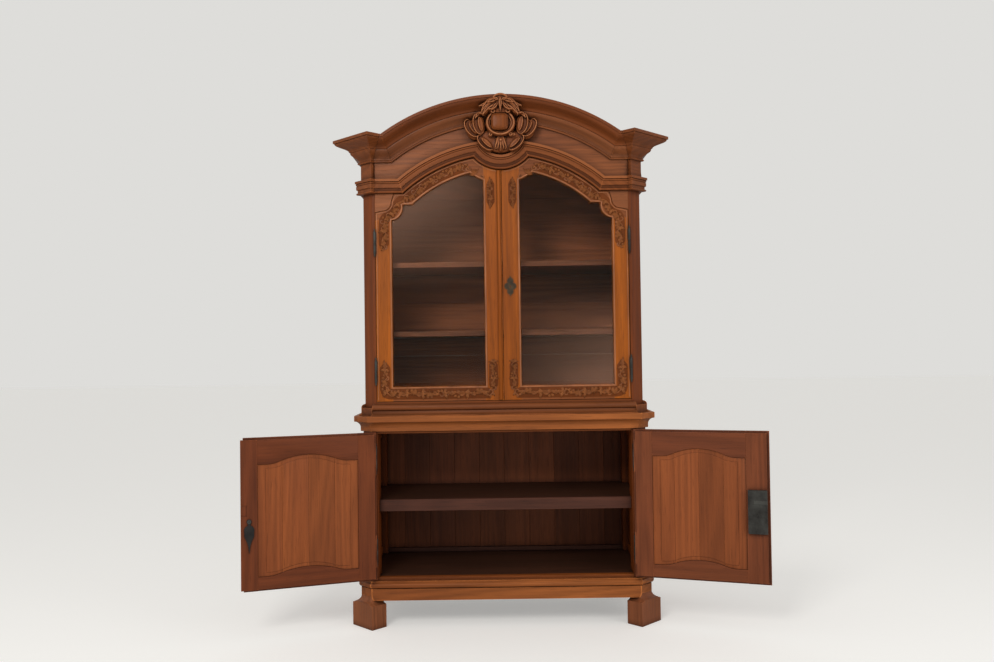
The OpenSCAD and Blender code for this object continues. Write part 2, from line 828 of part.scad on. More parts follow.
// Region under a camel-back curve that stands on z = 0, with short straight ends
module camel(half, rise) {
    run = half - camel_end;
    both_r = (run * run + rise * rise) / (2 * rise);
    end_r = both_r * camel_turn;
    mid_r = both_r - end_r;
    turn_x = run * mid_r / both_r;
    intersection() {
        translate([0, rise - mid_r]) circle(mid_r, $fn = 360);
        window(-turn_x, turn_x, -1, rise + 1);
    }
    both_sides() difference() {
        window(turn_x - 0.01, run, -1, rise - mid_r + sqrt(mid_r * mid_r - turn_x * turn_x));
        translate([run, end_r]) circle(end_r, $fn = 360);
    }
}
// The opening that a lower door's frame leaves for its panel, grown by g
module panel_hole(x0, x1, g) {
    z0 = lower_open_z0 + bottom_rail_h;
    z1 = lower_open_z1 - top_rail_h;
    mid = (x0 + x1) / 2;
    half = (x1 - x0) / 2;
    difference() {
        union() {
            window(x0 - g, x1 + g, z0 - g, z1 + g);
            translate([mid, z1 + g]) camel(half, top_rise);
        }
        translate([mid, z0 - g]) camel(half, bottom_rise);
    }
}
module frame_of_door(inner_x, lip_x, hole_x0, x0, x1, z0, z1) {
    hole_x1 = lower_open_half - door_gap - hinge_stile_w;
    end = finial(lower_barrel_r);
    difference() {
        union() {
            slab(0, inner_face) intersection() {
                window(inner_x, lower_open_half - door_gap,
                    lower_open_z0 + door_gap, lower_open_z1 - door_gap);
                window(x0, x1, z0, z1);
            }
            slab(-lip_t, -lip_gap) intersection() {
                window(lip_x, lower_open_half + lip_over,
                    lower_open_z0 - lip_over + 1, lower_open_z1 + lip_over - 1);
                window(x0, x1, z0, z1);
            }
            slab(-lip_gap - 0.01, 0.01) intersection() {
                window(max(inner_x, lip_x), lower_open_half - door_gap,
                    lower_open_z0 + door_gap, lower_open_z1 - door_gap);
                window(x0, x1, z0, z1);
            }
        }
        slab(-lip_t - 1, inner_face + 1) panel_hole(hole_x0, hole_x1, 0);
        slab(0, groove_t) panel_hole(hole_x0, hole_x1, groove_d);
        for (z = lower_hinges) translate([lower_axis_x, -lower_axis_out, 0])
            barrel(lower_barrel_r + 1, z - end - 1, z + lower_hinge_h + end + 1);
        lower_door_leaves();
    }
}
lower_leaf_w = 33;
lower_leaf_in = 2.5;
module lower_door_leaves() {
    for (z = lower_hinges)
        block(lower_axis_x - lower_leaf_w, lower_axis_x,
            lower_leaf_in - lower_axis_out, lower_leaf_in + leaf_t - lower_axis_out,
            z + lower_hinge_h / 2 + leaf_end + 1, z + lower_hinge_h - leaf_end);
}
module door_frame(inner_x, lip_x, hole_x0, part) {
    hole_x1 = lower_open_half - door_gap - hinge_stile_w;
    if (part == "stiles") {
        frame_of_door(inner_x, lip_x, hole_x0, -hinge_stile_w, hole_x0, 0, big);
        frame_of_door(inner_x, lip_x, hole_x0, hole_x1, big, 0, big);
    } else {
        frame_of_door(inner_x, lip_x, hole_x0, hole_x0, hole_x1, 0, shelf_z);
        frame_of_door(inner_x, lip_x, hole_x0, hole_x0, hole_x1, shelf_z, big);
    }
}
module door_panel(hole_x0) {
    hole_x1 = lower_open_half - door_gap - hinge_stile_w;
    margin = 18;
    tongue = groove_d - 1;
    start = hole_x0 - tongue;
    pitch = (hole_x1 + tongue - start) / panel_boards;
    for (i = [0 : panel_boards - 1]) intersection() {
        union() {
            slab(hair, groove_t - hair) panel_hole(hole_x0, hole_x1, tongue);
            slab(-lip_t + 4, inner_face - 4.5) panel_hole(hole_x0, hole_x1, -0.5);
            slab(0, inner_face - 2) panel_hole(hole_x0 + margin, hole_x1 - margin, -margin);
        }
        block(start + i * pitch + hair / 2, start + (i + 1) * pitch - hair / 2, -lip_t, inner_face, 0, big);
    }
}
module lower_knuckles() {
    for (z = lower_hinges) translate([lower_axis_x, -lower_axis_out, 0])
        turning_knuckle(lower_barrel_r, z, lower_hinge_h);
    difference() {
        lower_door_leaves();
        for (z = lower_hinges) translate([lower_axis_x, -lower_axis_out, 0])
            barrel(lower_barrel_r - barrel_skin, z, z + lower_hinge_h);
    }
}

left_inner_x = -tongue_reach;
left_lip_x = lip_reach + door_gap;
left_hole_x = left_inner_x + left_stile_w;
right_hole_x = free_edge + right_stile_w;
latch_x = left_inner_x + left_stile_w / 2;
keeper_z = lower_open_z0 + keeper_rise;
keeper_h = 48;
keeper_d = 3;
keeper_w = bolt_travel + 14;
latch_z = keeper_z - 46;
latch_pin_r = 4;
latch_t = 4;
latch_eye_r = 10;
rivet_r = 8;
rivet_t = 2;
bolt_h = 28;
bolt_l = 54.5;
bolt_seat = 3;
bolt_t = 7;
lock_z = keeper_z - 127;

// The left door is drawn as its mirror image, so that both doors share their modules
module lower_left_stiles() {
    color("sienna") place() swing_left() mirror([1, 0, 0]) difference() {
        door_frame(left_inner_x, left_lip_x, left_hole_x, "stiles");
        block(left_inner_x - 1, left_inner_x + keeper_w, inner_face - keeper_d, inner_face + 1,
            keeper_z - keeper_h / 2, keeper_z + keeper_h / 2);
        translate([latch_x, inner_face - keeper_d, latch_z]) rotate([-90, 0, 0])
            cylinder(r = latch_pin_r, h = keeper_d + 1);
    }
}
module lower_left_rails() {
    color("sienna") place() swing_left() mirror([1, 0, 0])
        door_frame(left_inner_x, left_lip_x, left_hole_x, "rails");
}
module lower_left_panel() {
    color("sandybrown") place() swing_left() mirror([1, 0, 0]) door_panel(left_hole_x);
}
module lower_left_ironwork() {
    shank = latch_t + 2 * seat_gap;
    color("dimgray") place() swing_left() mirror([1, 0, 0]) {
        lower_knuckles();
        translate([latch_x, inner_face - keeper_d, latch_z]) rotate([-90, 0, 0]) {
            cylinder(r = latch_pin_r, h = keeper_d + shank + rivet_t);
            translate([0, 0, keeper_d + shank]) cylinder(r = rivet_r, h = rivet_t);
        }
    }
}
// Half of the leaf's outline below its round shoulder: how far out, and how far below the pin
latch_half = latch_w / 2;
leaf_shoulder = 16 + latch_half;
leaf_edge = [[4, 104], [7, 92], [latch_half - 1, 61], [latch_half - 1, leaf_shoulder]];
leaf_tip = 135;
module leaf_latch() {
    color("darkslategray") place() swing_left() mirror([1, 0, 0])
        translate([latch_x, inner_face + seat_gap, latch_z]) slab(0, latch_t) difference() {
            union() {
                circle(latch_eye_r);
                window(-6, 6, -2 * latch_eye_r, 0);
                translate([0, -leaf_shoulder]) circle(latch_half);
                polygon(concat([[0, -leaf_tip]], [for (e = leaf_edge) [e[0], -e[1]]],
                    [for (i = [len(leaf_edge) - 1 : -1 : 0]) -leaf_edge[i]]));
            }
            circle(latch_pin_r + pin_play);
        }
}
module lower_right_stiles() {
    color("sienna") place() swing_right() door_frame(free_edge, -lip_reach, right_hole_x, "stiles");
}
module lower_right_rails() {
    color("sienna") place() swing_right() door_frame(free_edge, -lip_reach, right_hole_x, "rails");
}
module lower_right_panel() { color("sandybrown") place() swing_right() door_panel(right_hole_x); }
module lower_right_knuckles() { color("dimgray") place() swing_right() lower_knuckles(); }

// The case is thinner above its step; the key turns on a post, and a plate outside takes its wear
case_step = [0.68 * lower_lock[1], 3];
key_post = [0.54 * lower_lock[0], 0.435 * lower_lock[1]];
key_post_r = 4;
key_post_h = 5;
plate = [[18, 50], [56, 112]];
plate_t = 2;
bolt_room = 0.5;
module lower_lock_case() {
    w = lower_lock[0];
    h = lower_lock[1];
    t = lower_lock[2];
    color("darkslategray") place() swing_right() {
        difference() {
            translate([lock_edge, inner_face, lock_z]) cube([w, t, h]);
            translate([lock_edge - 1, inner_face + t - case_step[1], lock_z + case_step[0]])
                cube([w + 2, case_step[1] + 1, h]);
            block(lock_edge - 1, lock_edge + bolt_l + 3 * bolt_room,
                inner_face + bolt_seat, inner_face + bolt_seat + bolt_t + 2 * bolt_room,
                keeper_z - bolt_h / 2 - bolt_room, keeper_z + bolt_h / 2 + bolt_room);
        }
        translate([lock_edge + key_post[0], inner_face + t - 1, lock_z + key_post[1]])
            rotate([-90, 0, 0]) cylinder(r = key_post_r, h = key_post_h + 1);
        block(lock_edge + plate[0][0], lock_edge + plate[1][0], -lip_t - plate_t, -lip_t,
            lock_z + plate[0][1], lock_z + plate[1][1]);
    }
}
module lower_lock_bolt() {
    color("gray") place() swing_right() translate([lock_edge + bolt_room, inner_face + bolt_seat + bolt_room,
        keeper_z - bolt_h / 2]) cube([bolt_l, bolt_t, bolt_h]);
}

// Glazed doors, drawn for the right-hand side

glass_x1 = upper_open_half - outer_stile_w;
glass_z0 = upper_open_z0 + glazed_rail_h;
glass_top = spring_z - 51;
lobe_r = 57;
lobe_out = 6;
lobe = [glass_x1 + lobe_out, glass_top - 14];
sight_arch_x = glass_x1 - 98;
drop_rail_w = arch_rail_w - 3;
front_layer = 10;
meet_gap = 3;
module sight(g) {
    difference() {
        union() {
            window(meeting_x - g, glass_x1 + g, glass_z0 - g, glass_top + g);
            intersection() {
                translate([0, arch_z]) circle(arch_r - arch_rail_w + g);
                window(meeting_x - g, sight_arch_x + g, glass_top - 40, big);
            }
        }
        translate([0, drop_z]) circle(drop_r + drop_rail_w - g);
        translate(lobe) circle(lobe_r - g);
        window(lobe[0] - lobe_r + g, big, lobe[1], big);
    }
}
module glazed_part(x0, x1, z0, z1) {
    difference() {
        slab(0, glazed_t) intersection() {
            doorway(glazed_gap);
            window(max(x0, meet_gap / 2), x1, z0, z1);
        }
        slab(-1, front_layer + 0.01) sight(0);
        slab(front_layer, glazed_t + 1) sight(rebate);
    }
}
lobe_z0 = lobe[1] - lobe_r;
module glazed_stiles() {
    difference() {
        union() {
            glazed_part(glass_x1, big, 0, lobe_z0);
            glazed_part(0, meeting_x, 0, big);
        }
        upper_door_leaves();
    }
}
module glazed_rails() {
    glazed_part(meeting_x, glass_x1, 0, lobe_z0);
    glazed_part(meeting_x, big, lobe_z0, big);
}
glass_play = 0.5;
strip_t = 8;
strip_w = 3;
module pane() { slab(front_layer, front_layer + glass_t) sight(rebate - glass_play); }
module glazing_strip(x0, x1, z0, z1) {
    slab(front_layer + glass_t, front_layer + glass_t + strip_t) difference() {
        intersection() {
            sight(rebate - glass_play);
            window(x0, x1, z0, z1);
        }
        sight(-strip_w);
    }
}
module glazing_beads() {
    glazing_strip(0, meeting_x + strip_w, 0, big);
    glazing_strip(meeting_x + strip_w + hair, glass_x1 - strip_w - hair, 0, glass_z0 + strip_t);
    glazing_strip(glass_x1 - strip_w, big, 0, lobe_z0);
    glazing_strip(meeting_x + strip_w + hair, big, lobe_z0 + hair, big);
}
upper_leaf_x = upper_axis_x - 4;
upper_leaf_t = 2;
module upper_door_leaves() {
    for (z = upper_hinges)
        block(upper_leaf_x - upper_leaf_t, upper_leaf_x, 2 - upper_axis_out, leaf_w - upper_axis_out,
            z + upper_hinge_h / 2 + leaf_end + 1, z + upper_hinge_h - leaf_end);
}
module upper_knuckles() {
    for (z = upper_hinges) translate([upper_axis_x, -upper_axis_out, 0])
        turning_knuckle(upper_barrel_r, z, upper_hinge_h);
    difference() {
        upper_door_leaves();
        for (z = upper_hinges) translate([upper_axis_x, -upper_axis_out, 0])
            barrel(upper_barrel_r - barrel_skin, z, z + upper_hinge_h);
    }
}
foot_bolt_x = 40;
foot_bolt_r = 4;
foot_bolt_y = glazed_t + 7;
foot_bolt_z = upper_open_z0 + 9;
foot_bolt_h = 120;
knob_r = 6;
guide_rises = [14, 92];
guide_h = 12;
guide_half = 9;
lock_x = meet_gap / 2 + 1;
key_z = upper_open_z0 + key_rise;
upper_bolt_z = key_z + 20;
upper_bolt = [48.5, 6, 20];
bead_r = 8.5;
bead_end = 4;
// The room for the upper bolt, in its case and in its keeper
module upper_bolt_way(x0, x1) {
    block(x0, x1, glazed_t + bolt_seat - bolt_room, glazed_t + bolt_seat + upper_bolt[1] + bolt_room,
        upper_bolt_z - upper_bolt[2] / 2 - bolt_room, upper_bolt_z + upper_bolt[2] / 2 + bolt_room);
}
module meeting_bead() {
    intersection() {
        translate([meet_gap / 2 + 3 + bead_r, 0, upper_open_z0 + bead_end])
            cylinder(r = bead_r, h = drop_z - drop_r - upper_open_z0 - 2 * bead_end);
        block(0, meeting_x, -2 * bead_r, 0, 0, big);
    }
}
module bolt_guides() {
    difference() {
        for (rise = guide_rises)
            block(foot_bolt_x - guide_half, foot_bolt_x + guide_half, glazed_t, foot_bolt_y + 7,
                foot_bolt_z + rise, foot_bolt_z + rise + guide_h);
        translate([foot_bolt_x, foot_bolt_y, foot_bolt_z])
            cylinder(r = foot_bolt_r + pin_play, h = foot_bolt_h * 2);
    }
}
module lock_keeper() {
    difference() {
        block(4, keeper_w, glazed_t, glazed_t + 12, upper_bolt_z - 16, upper_bolt_z + 16);
        upper_bolt_way(3, keeper_w + 1);
    }
}
module upper_left_stiles() { color("sienna") place() mirror([1, 0, 0]) glazed_stiles(); }
module upper_left_rails() { color("peru") place() mirror([1, 0, 0]) glazed_rails(); }
module upper_left_glass() { color("lightblue", 0.4) place() mirror([1, 0, 0]) pane(); }
module upper_left_beads() {
    color("peru") place() mirror([1, 0, 0]) {
        glazing_beads();
        meeting_bead();
    }
}
module upper_left_ironwork() {
    color("dimgray") place() mirror([1, 0, 0]) {
        upper_knuckles();
        bolt_guides();
        lock_keeper();
    }
}
module upper_foot_bolt() {
    color("gray") place() translate([-foot_bolt_x, foot_bolt_y, foot_bolt_z]) {
        cylinder(r = foot_bolt_r, h = foot_bolt_h);
        translate([0, knob_r - 1, foot_bolt_h / 2]) sphere(knob_r);
    }
}
module upper_right_stiles() { color("sienna") place() glazed_stiles(); }
module upper_right_rails() { color("peru") place() glazed_rails(); }
module upper_right_glass() { color("lightblue", 0.4) place() pane(); }
module upper_right_beads() { color("peru") place() glazing_beads(); }
module upper_right_knuckles() { color("dimgray") place() upper_knuckles(); }
module upper_lock_case() {
    color("darkslategray") place() difference() {
        translate([lock_x, glazed_t, upper_bolt_z - upper_lock[1] * 0.6])
            cube([upper_lock[0], upper_lock[2], upper_lock[1]]);
        upper_bolt_way(lock_x - 1, lock_x + upper_bolt[0] + 3 * bolt_room);
    }
}
module upper_lock_bolt() {
    color("gray") place()
        translate([lock_x + bolt_room, glazed_t + bolt_seat, upper_bolt_z - upper_bolt[2] / 2])
            cube(upper_bolt);
}
// A plate of four lobes with a point above and below, and the keyhole in its middle
module upper_escutcheon() {
    centre_x = 35;
    plate_half = [12, 24];
    side_r = 15;
    end_r = 14;
    point = [[9, 30], 46];
    hole_r = 3.2;
    slot = [1.4, 10];
    color("darkgoldenrod") place() translate([centre_x, 0, key_z]) slab(-2.5, 0) difference() {
        union() {
            for (s = [-1, 1]) {
                translate([0, s * plate_half[1]]) circle(end_r);
                translate([s * plate_half[0], 0]) circle(side_r);
                polygon([s * [-point[0][0], point[0][1]], s * point[0], s * [0, point[1]]]);
            }
            window(-plate_half[0], plate_half[0], -plate_half[1], plate_half[1]);
        }
        circle(hole_r, $fn = 32);
        window(-slot[0], slot[0], -slot[1], 0);
    }
}

front_feet();
rear_feet();
lower_posts();
lower_side_rails();
lower_side_panels();
lower_front_rails();
base_moulding();
bottom_board();
middle_shelf();
shelf_lip();
lower_battens();
lower_back_boards();
lower_top_board();
waist_moulding();
lower_hinge_pins();
upper_base_moulding();
upper_posts();
upper_side_rails();
upper_side_panels();
upper_bottom_rail();
upper_floor_board();
upper_shelves();
upper_bearers();
upper_back_boards();
roof_board();
head_board();
architrave();
bed_moulding();
crown_moulding();
corner_blocks();
side_cornices();
cartouche();
upper_hinge_pins();
lower_left_stiles();
lower_left_rails();
lower_left_panel();
lower_left_ironwork();
leaf_latch();
lower_right_stiles();
lower_right_rails();
lower_right_panel();
lower_right_knuckles();
lower_lock_case();
lower_lock_bolt();
upper_left_stiles();
upper_left_rails();
upper_left_glass();
upper_left_beads();
upper_left_ironwork();
upper_foot_bolt();
upper_right_stiles();
upper_right_rails();
upper_right_glass();
upper_right_beads();
upper_right_knuckles();
upper_lock_case();
upper_lock_bolt();
upper_escutcheon();
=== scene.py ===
# %% [markdown]
# # Dressing a glazed oak dresser
# The CAD program has already cut every board, rail and hinge of this cabinet. Here Blender gives
# them their wood, iron and glass, and adds what a carver and a smith would add by hand. The frame
# is loaded first. Nothing that is added may make the cabinet bigger.

# %% Load the cabinet
import math
import random

import bmesh
import bpy
from mathutils import Euler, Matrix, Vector


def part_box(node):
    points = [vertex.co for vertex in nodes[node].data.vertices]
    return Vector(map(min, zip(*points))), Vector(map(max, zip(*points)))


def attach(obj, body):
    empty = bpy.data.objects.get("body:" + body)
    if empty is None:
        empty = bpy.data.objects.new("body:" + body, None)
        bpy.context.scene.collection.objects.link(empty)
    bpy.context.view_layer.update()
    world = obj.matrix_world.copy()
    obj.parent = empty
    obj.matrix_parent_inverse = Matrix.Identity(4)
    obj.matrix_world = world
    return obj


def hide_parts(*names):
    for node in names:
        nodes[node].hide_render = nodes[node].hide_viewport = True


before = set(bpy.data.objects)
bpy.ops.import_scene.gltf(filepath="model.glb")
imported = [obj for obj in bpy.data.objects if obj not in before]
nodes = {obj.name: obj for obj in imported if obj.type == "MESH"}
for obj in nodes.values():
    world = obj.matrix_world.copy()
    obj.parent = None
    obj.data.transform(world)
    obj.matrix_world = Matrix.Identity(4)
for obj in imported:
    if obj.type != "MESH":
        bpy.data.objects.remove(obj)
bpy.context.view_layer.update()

# %% [markdown]
# ## Places
# The drawings of a joiner are in millimetres, with zero at the face of the doors. The scene is in
# metres, with zero at the middle of the whole object, doors standing open. One small helper turns
# the first into the second, so that every number below can be checked with a ruler.

# %% From the joiner's millimetres to the scene
FACE_Y = -0.158525
OPEN = math.radians(162)
HINGE = Vector((0.578, FACE_Y - 0.009, 0))


def place(x, y, z):
    return Vector((x / 1000, FACE_Y + y / 1000, z / 1000))


print("the doors' face lies at", FACE_Y, "m and the lower doors stand open by", math.degrees(OPEN))

# %% [markdown]
# ## Camera
# The cabinet was photographed from four metres away, at the height of a person's chest, with the
# camera held a little crooked. A lens of 32 mm gives the same perspective. The small lean is set
# with the second angle of the rotation.

# %% The camera
SENSOR_WIDTH = 36
FOCAL_LENGTH = 32.2
CAMERA_SIDE = -0.029
CAMERA_AWAY = 4.0
CAMERA_HEIGHT = 1.232
LOOK_UP = 1.2
LEAN = 0.78

scene = bpy.context.scene


def new_object(name, data):
    made = bpy.data.objects.new(name, data)
    scene.collection.objects.link(made)
    return made


lens = bpy.data.cameras.new("camera")
lens.sensor_width = SENSOR_WIDTH
lens.lens = FOCAL_LENGTH
camera = new_object("camera", lens)
camera.location = (CAMERA_SIDE, FACE_Y - CAMERA_AWAY, CAMERA_HEIGHT)
camera.rotation_euler = (math.radians(90 + LOOK_UP), math.radians(LEAN), 0)
scene.camera = camera
scene.view_settings.view_transform = "Standard"
print("camera", [round(n, 3) for n in camera.location], "lens", lens.lens)

# %% [markdown]
# ## Nodes
# A procedural finish is a small circuit of nodes. These helpers add a node with its settings and
# plug either a number or another node's output into each of its sockets, which keeps the circuits
# below as short as a recipe. A colour is written as a paint program shows it, from 0 to 255, and
# paint() turns it into the linear light that Blender's nodes count in.

# %% Helpers for shader nodes
def add(tree, kind, sockets=None, **settings):
    node = tree.nodes.new("ShaderNode" + kind)
    for name, value in settings.items():
        setattr(node, name, value)
    for key, value in (sockets or {}).items():
        if isinstance(value, bpy.types.NodeSocket):
            tree.links.new(value, node.inputs[key])
        else:
            node.inputs[key].default_value = value
    return node


def calc(tree, operation, a, b=0.5):
    return add(tree, "Math", {0: a, 1: b}, operation=operation).outputs[0]


def rescale(tree, value, low, high, start=0.0, end=1.0):
    sockets = {0: value, 1: low, 2: high, 3: start, 4: end}
    return add(tree, "MapRange", sockets).outputs[0]


def mix(tree, factor, a, b, blend="MIX"):
    return add(tree, "Mix", {0: factor, 6: a, 7: b}, data_type="RGBA", blend_type=blend).outputs[2]


print("node helpers ready")

# %% Helpers for colours
def linear(share):
    return share / 12.92 if share < 0.04 else ((share + 0.055) / 1.055) ** 2.4


def paint(red, green, blue):
    return [linear(n / 255) for n in (red, green, blue)] + [1.0]


def scaled(colour, red, green=None, blue=None):
    factors = (red, red if green is None else green, red if blue is None else blue)
    return [min(1.0, n * f) for n, f in zip(colour, factors)] + [1.0]


print("mid grey is", round(paint(128, 128, 128)[0], 3), "in linear light")

# %% [markdown]
# ## Light
# A plain studio: an even pale world, one large lamp high on the left and a weaker one on the
# right. The world is seen as a pale wall by the camera and in reflections, and lights the cabinet
# more softly, which the Light Path node tells apart.

# %% The studio's world and lamps
WARM_WHITE = (1, 0.98, 0.95)


def studio_world(wall, light):
    world = bpy.data.worlds.new("studio")
    world.use_nodes = True
    tree = world.node_tree
    tree.nodes.clear()
    rays = add(tree, "LightPath")
    seen = calc(tree, "MAXIMUM", rays.outputs["Is Camera Ray"], rays.outputs["Is Glossy Ray"])
    seen = calc(tree, "MAXIMUM", seen, rays.outputs["Is Transmission Ray"])
    soft = add(tree, "Background", {"Color": (1, 0.99, 0.97, 1), "Strength": light})
    pale = add(tree, "Background", {"Color": wall, "Strength": 1})
    both = add(tree, "MixShader", {0: seen, 1: soft.outputs[0], 2: pale.outputs[0]})
    add(tree, "OutputWorld", {0: both.outputs[0]})
    scene.world = world


def lamp(name, where, target, size, power, colour=(1, 1, 1)):
    data = bpy.data.lights.new(name, "AREA")
    data.size, data.energy, data.color = size, power, colour
    light = new_object(name, data)
    light.location = where
    light.rotation_euler = (Vector(target) - Vector(where)).to_track_quat("-Z", "Y").to_euler()


studio_world(wall=paint(222, 221, 218), light=0.50)
lamp("key_lamp", where=(-1.6, -4.4, 3.6), target=(0, 0, 1.3), size=1.6, power=102, colour=WARM_WHITE)
lamp("fill_lamp", where=(3.2, -3.2, 2.2), target=(0, 0, 1.1), size=2.2, power=33)
print("lamps and world ready")

# %% [markdown]
# ## Floor
# The floor is a wide pale sheet. It is lit like everything else, so it keeps the cabinet's shadow,
# and a little extra light that only the camera sees brings it close to the wall's colour, which
# hides the line where the two meet.

# %% The floor
def new_material(name):
    material = bpy.data.materials.new(name)
    material.use_nodes = True
    return material, material.node_tree, material.node_tree.nodes["Principled BSDF"]


def pale_floor(reach, colour, lift):
    mesh = bpy.data.meshes.new("floor")
    corners = [(-reach, -reach, 0), (reach, -reach, 0), (reach, reach, 0), (-reach, reach, 0)]
    mesh.from_pydata(corners, [], [(0, 1, 2, 3)])
    floor = new_object("floor", mesh)
    finish, tree, shader = new_material("pale_floor")
    shader.inputs["Base Color"].default_value = colour
    shader.inputs["Roughness"].default_value = 0.9
    shader.inputs["Specular IOR Level"].default_value = 0.1
    for_camera = calc(tree, "MULTIPLY", add(tree, "LightPath").outputs["Is Camera Ray"], lift)
    glow = add(tree, "Emission", {0: colour, 1: for_camera})
    both = add(tree, "AddShader", {0: shader.outputs[0], 1: glow.outputs[0]})
    tree.links.new(both.outputs[0], tree.nodes["Material Output"].inputs[0])
    mesh.materials.append(finish)


pale_floor(reach=30, colour=paint(226, 225, 222), lift=0.43)
print("floor laid")

# %% [markdown]
# ## Oak
# Old waxed oak shows four things at once: broad growth rings that run along the board, fine fibres,
# short dark pores, and dirt that has gathered in every corner while the edges wore pale. Here the
# corners are also painted dark as painted shade, and the edges carry a painted highlight. The rings
# are contour lines of a noise that is stretched along the grain, which bends them the way a sawn
# board does. The grain runs along an axis, round the corner of a moulding, or along the arch.

# %% Where the grain runs
ARCH_CENTRE_Z = 1.4497
ARCH_REACH = 0.8
CORNER_DEPTH = 0.045


def grain_space(tree, grain, turn):
    where = add(tree, "TexCoord").outputs["Object"]
    if turn:
        sockets = {"Vector": where, "Angle": turn}
        where = add(tree, "VectorRotate", sockets, rotation_type="Z_AXIS").outputs[0]
    x, y, z = add(tree, "SeparateXYZ", {0: where}).outputs
    if grain == "X":
        return x, z, y
    if grain == "Y":
        return y, z, x
    if grain == "round":
        side = calc(tree, "GREATER_THAN", y, FACE_Y + CORNER_DEPTH)
        along = add(tree, "Mix", {0: side, 2: x, 3: y}).outputs[0]
        across = add(tree, "Mix", {0: side, 2: y, 3: x}).outputs[0]
        return along, z, across
    if grain == "arch":
        rise = calc(tree, "SUBTRACT", z, ARCH_CENTRE_Z)
        squares = calc(tree, "ADD", calc(tree, "MULTIPLY", x, x), calc(tree, "MULTIPLY", rise, rise))
        angle = calc(tree, "ARCTAN2", x, rise)
        return calc(tree, "MULTIPLY", angle, ARCH_REACH), calc(tree, "SQRT", squares), y
    return z, x, y


print("the arch is struck from", ARCH_CENTRE_Z, "m above the floor")

# %% The figure of the wood
RING_COUNT = 95.0


def plank_shift(tree, line, start, pitch):
    number = calc(tree, "FLOOR", calc(tree, "DIVIDE", calc(tree, "SUBTRACT", line, start), pitch))
    return add(tree, "TexWhiteNoise", {"W": number}, noise_dimensions="1D").outputs[0]


def oak_figure(tree, along, across, deep):
    def fibres(stretch, size, detail, roughness=0.5, warp=0.0):
        long = calc(tree, "MULTIPLY", along, stretch)
        spot = add(tree, "CombineXYZ", {0: across, 1: deep, 2: long}).outputs[0]
        sockets = {"Vector": spot, "Scale": size, "Detail": detail, "Roughness": roughness,
                   "Distortion": warp}
        return add(tree, "TexNoise", sockets).outputs[0]

    field = fibres(stretch=0.07, size=5.0, detail=1.5, roughness=0.4, warp=0.3)
    rings = rescale(tree, calc(tree, "SINE", calc(tree, "MULTIPLY", field, RING_COUNT)), -1.0, 1.0)
    broad = rescale(tree, fibres(stretch=0.25, size=3.5, detail=2.0), 0.3, 0.7)
    fine = fibres(stretch=0.03, size=120.0, detail=3.0, roughness=0.6)
    pores = rescale(tree, fibres(stretch=0.03, size=420.0, detail=1.0), 0.62, 0.72)
    spots = fibres(stretch=0.4, size=18.0, detail=3.0, roughness=0.6)
    patches = rescale(tree, spots, 0.36, 0.62, 0.15, 1.3)
    return rings, broad, fine, pores, patches


# %% [markdown]
# ## Dirt and painted shade, wear and painted highlights
# Ambient occlusion finds the corners where little light gets in, and they are painted darker: partly
# dirt gathered there, partly painted shade. Measured from inside the wood, the same node finds the
# sharp edges, which are painted pale: partly rubbed by hands, partly a painted highlight. On carving,
# the height above the ground tells a valley from a tip: valleys get painted shade, tips painted
# highlights. Pointiness, the bend of the surface, does the same on the cartouche, whose mesh is fine
# enough for it.

# %% Where the wood is dark and where it is pale
AO_SAMPLES = 4
EDGE_REACH = 0.005
# How dark the painted shade in valleys and folds is, and how pale the edges, tips and ridges are painted.
PAINTED_VALLEY_SHADE, PAINTED_FOLD_SHADE = 0.35, 0.25
RUBBED_EDGE_AND_HIGHLIGHT = (1.6, 1.7, 1.85)
PAINTED_TIP_HIGHLIGHT = (1.6, 1.95, 2.7)
PAINTED_RIDGE_HIGHLIGHT = (1.7, 2.3, 3.6)


# Painted light by height: painted shade in the valleys of a carving, painted highlights on its tips.
def painted_light_by_height(tree, colour, pale, dark, tips, depth):
    proud = add(tree, "SeparateXYZ", {0: add(tree, "TexCoord").outputs["Object"]}).outputs[1]
    high = rescale(tree, proud, FACE_Y - tips[0], FACE_Y - tips[1])
    valley_shade = rescale(tree, high, 0.0, 0.4, 0.75, 0.0)
    colour = mix(tree, valley_shade, colour, scaled(dark, PAINTED_VALLEY_SHADE))
    tip_highlight = rescale(tree, high, 0.5, 0.97, 0.0, depth)
    return mix(tree, tip_highlight, colour, scaled(pale, *PAINTED_TIP_HIGHLIGHT))


# Painted light by bend: painted shade in the folds, painted highlights on the ridges.
def painted_light_by_bend(tree, colour, pale, dark, ridges):
    bent = add(tree, "NewGeometry").outputs["Pointiness"]
    fold_shade = rescale(tree, bent, 0.46, 0.496, ridges, 0.0)
    colour = mix(tree, fold_shade, colour, scaled(dark, PAINTED_FOLD_SHADE))
    ridge_highlight = rescale(tree, bent, 0.506, 0.545, 0.0, ridges)
    return mix(tree, ridge_highlight, colour, scaled(pale, *PAINTED_RIDGE_HIGHLIGHT))


# Darkening of corners and recesses found by ambient occlusion: partly dirt, partly painted shade.
def corner_dirt_and_shade(tree, reach, dirt_and_shade):
    hollow = add(tree, "AmbientOcclusion", {"Distance": reach}, samples=AO_SAMPLES).outputs["AO"]
    return calc(tree, "MULTIPLY", rescale(tree, hollow, 0.35, 0.95, 1.0, 0.0), dirt_and_shade)


# Paling of the sharp edges: partly wear, partly a painted highlight.
def edge_wear_and_highlight(tree, patches, wear_and_highlight):
    edge = add(tree, "AmbientOcclusion", {"Distance": EDGE_REACH}, samples=AO_SAMPLES, inside=True)
    pale_edge = calc(tree, "MULTIPLY", rescale(tree, edge.outputs["AO"], 0.45, 0.75, 1.0, 0.0), wear_and_highlight)
    return calc(tree, "MULTIPLY", pale_edge, patches)


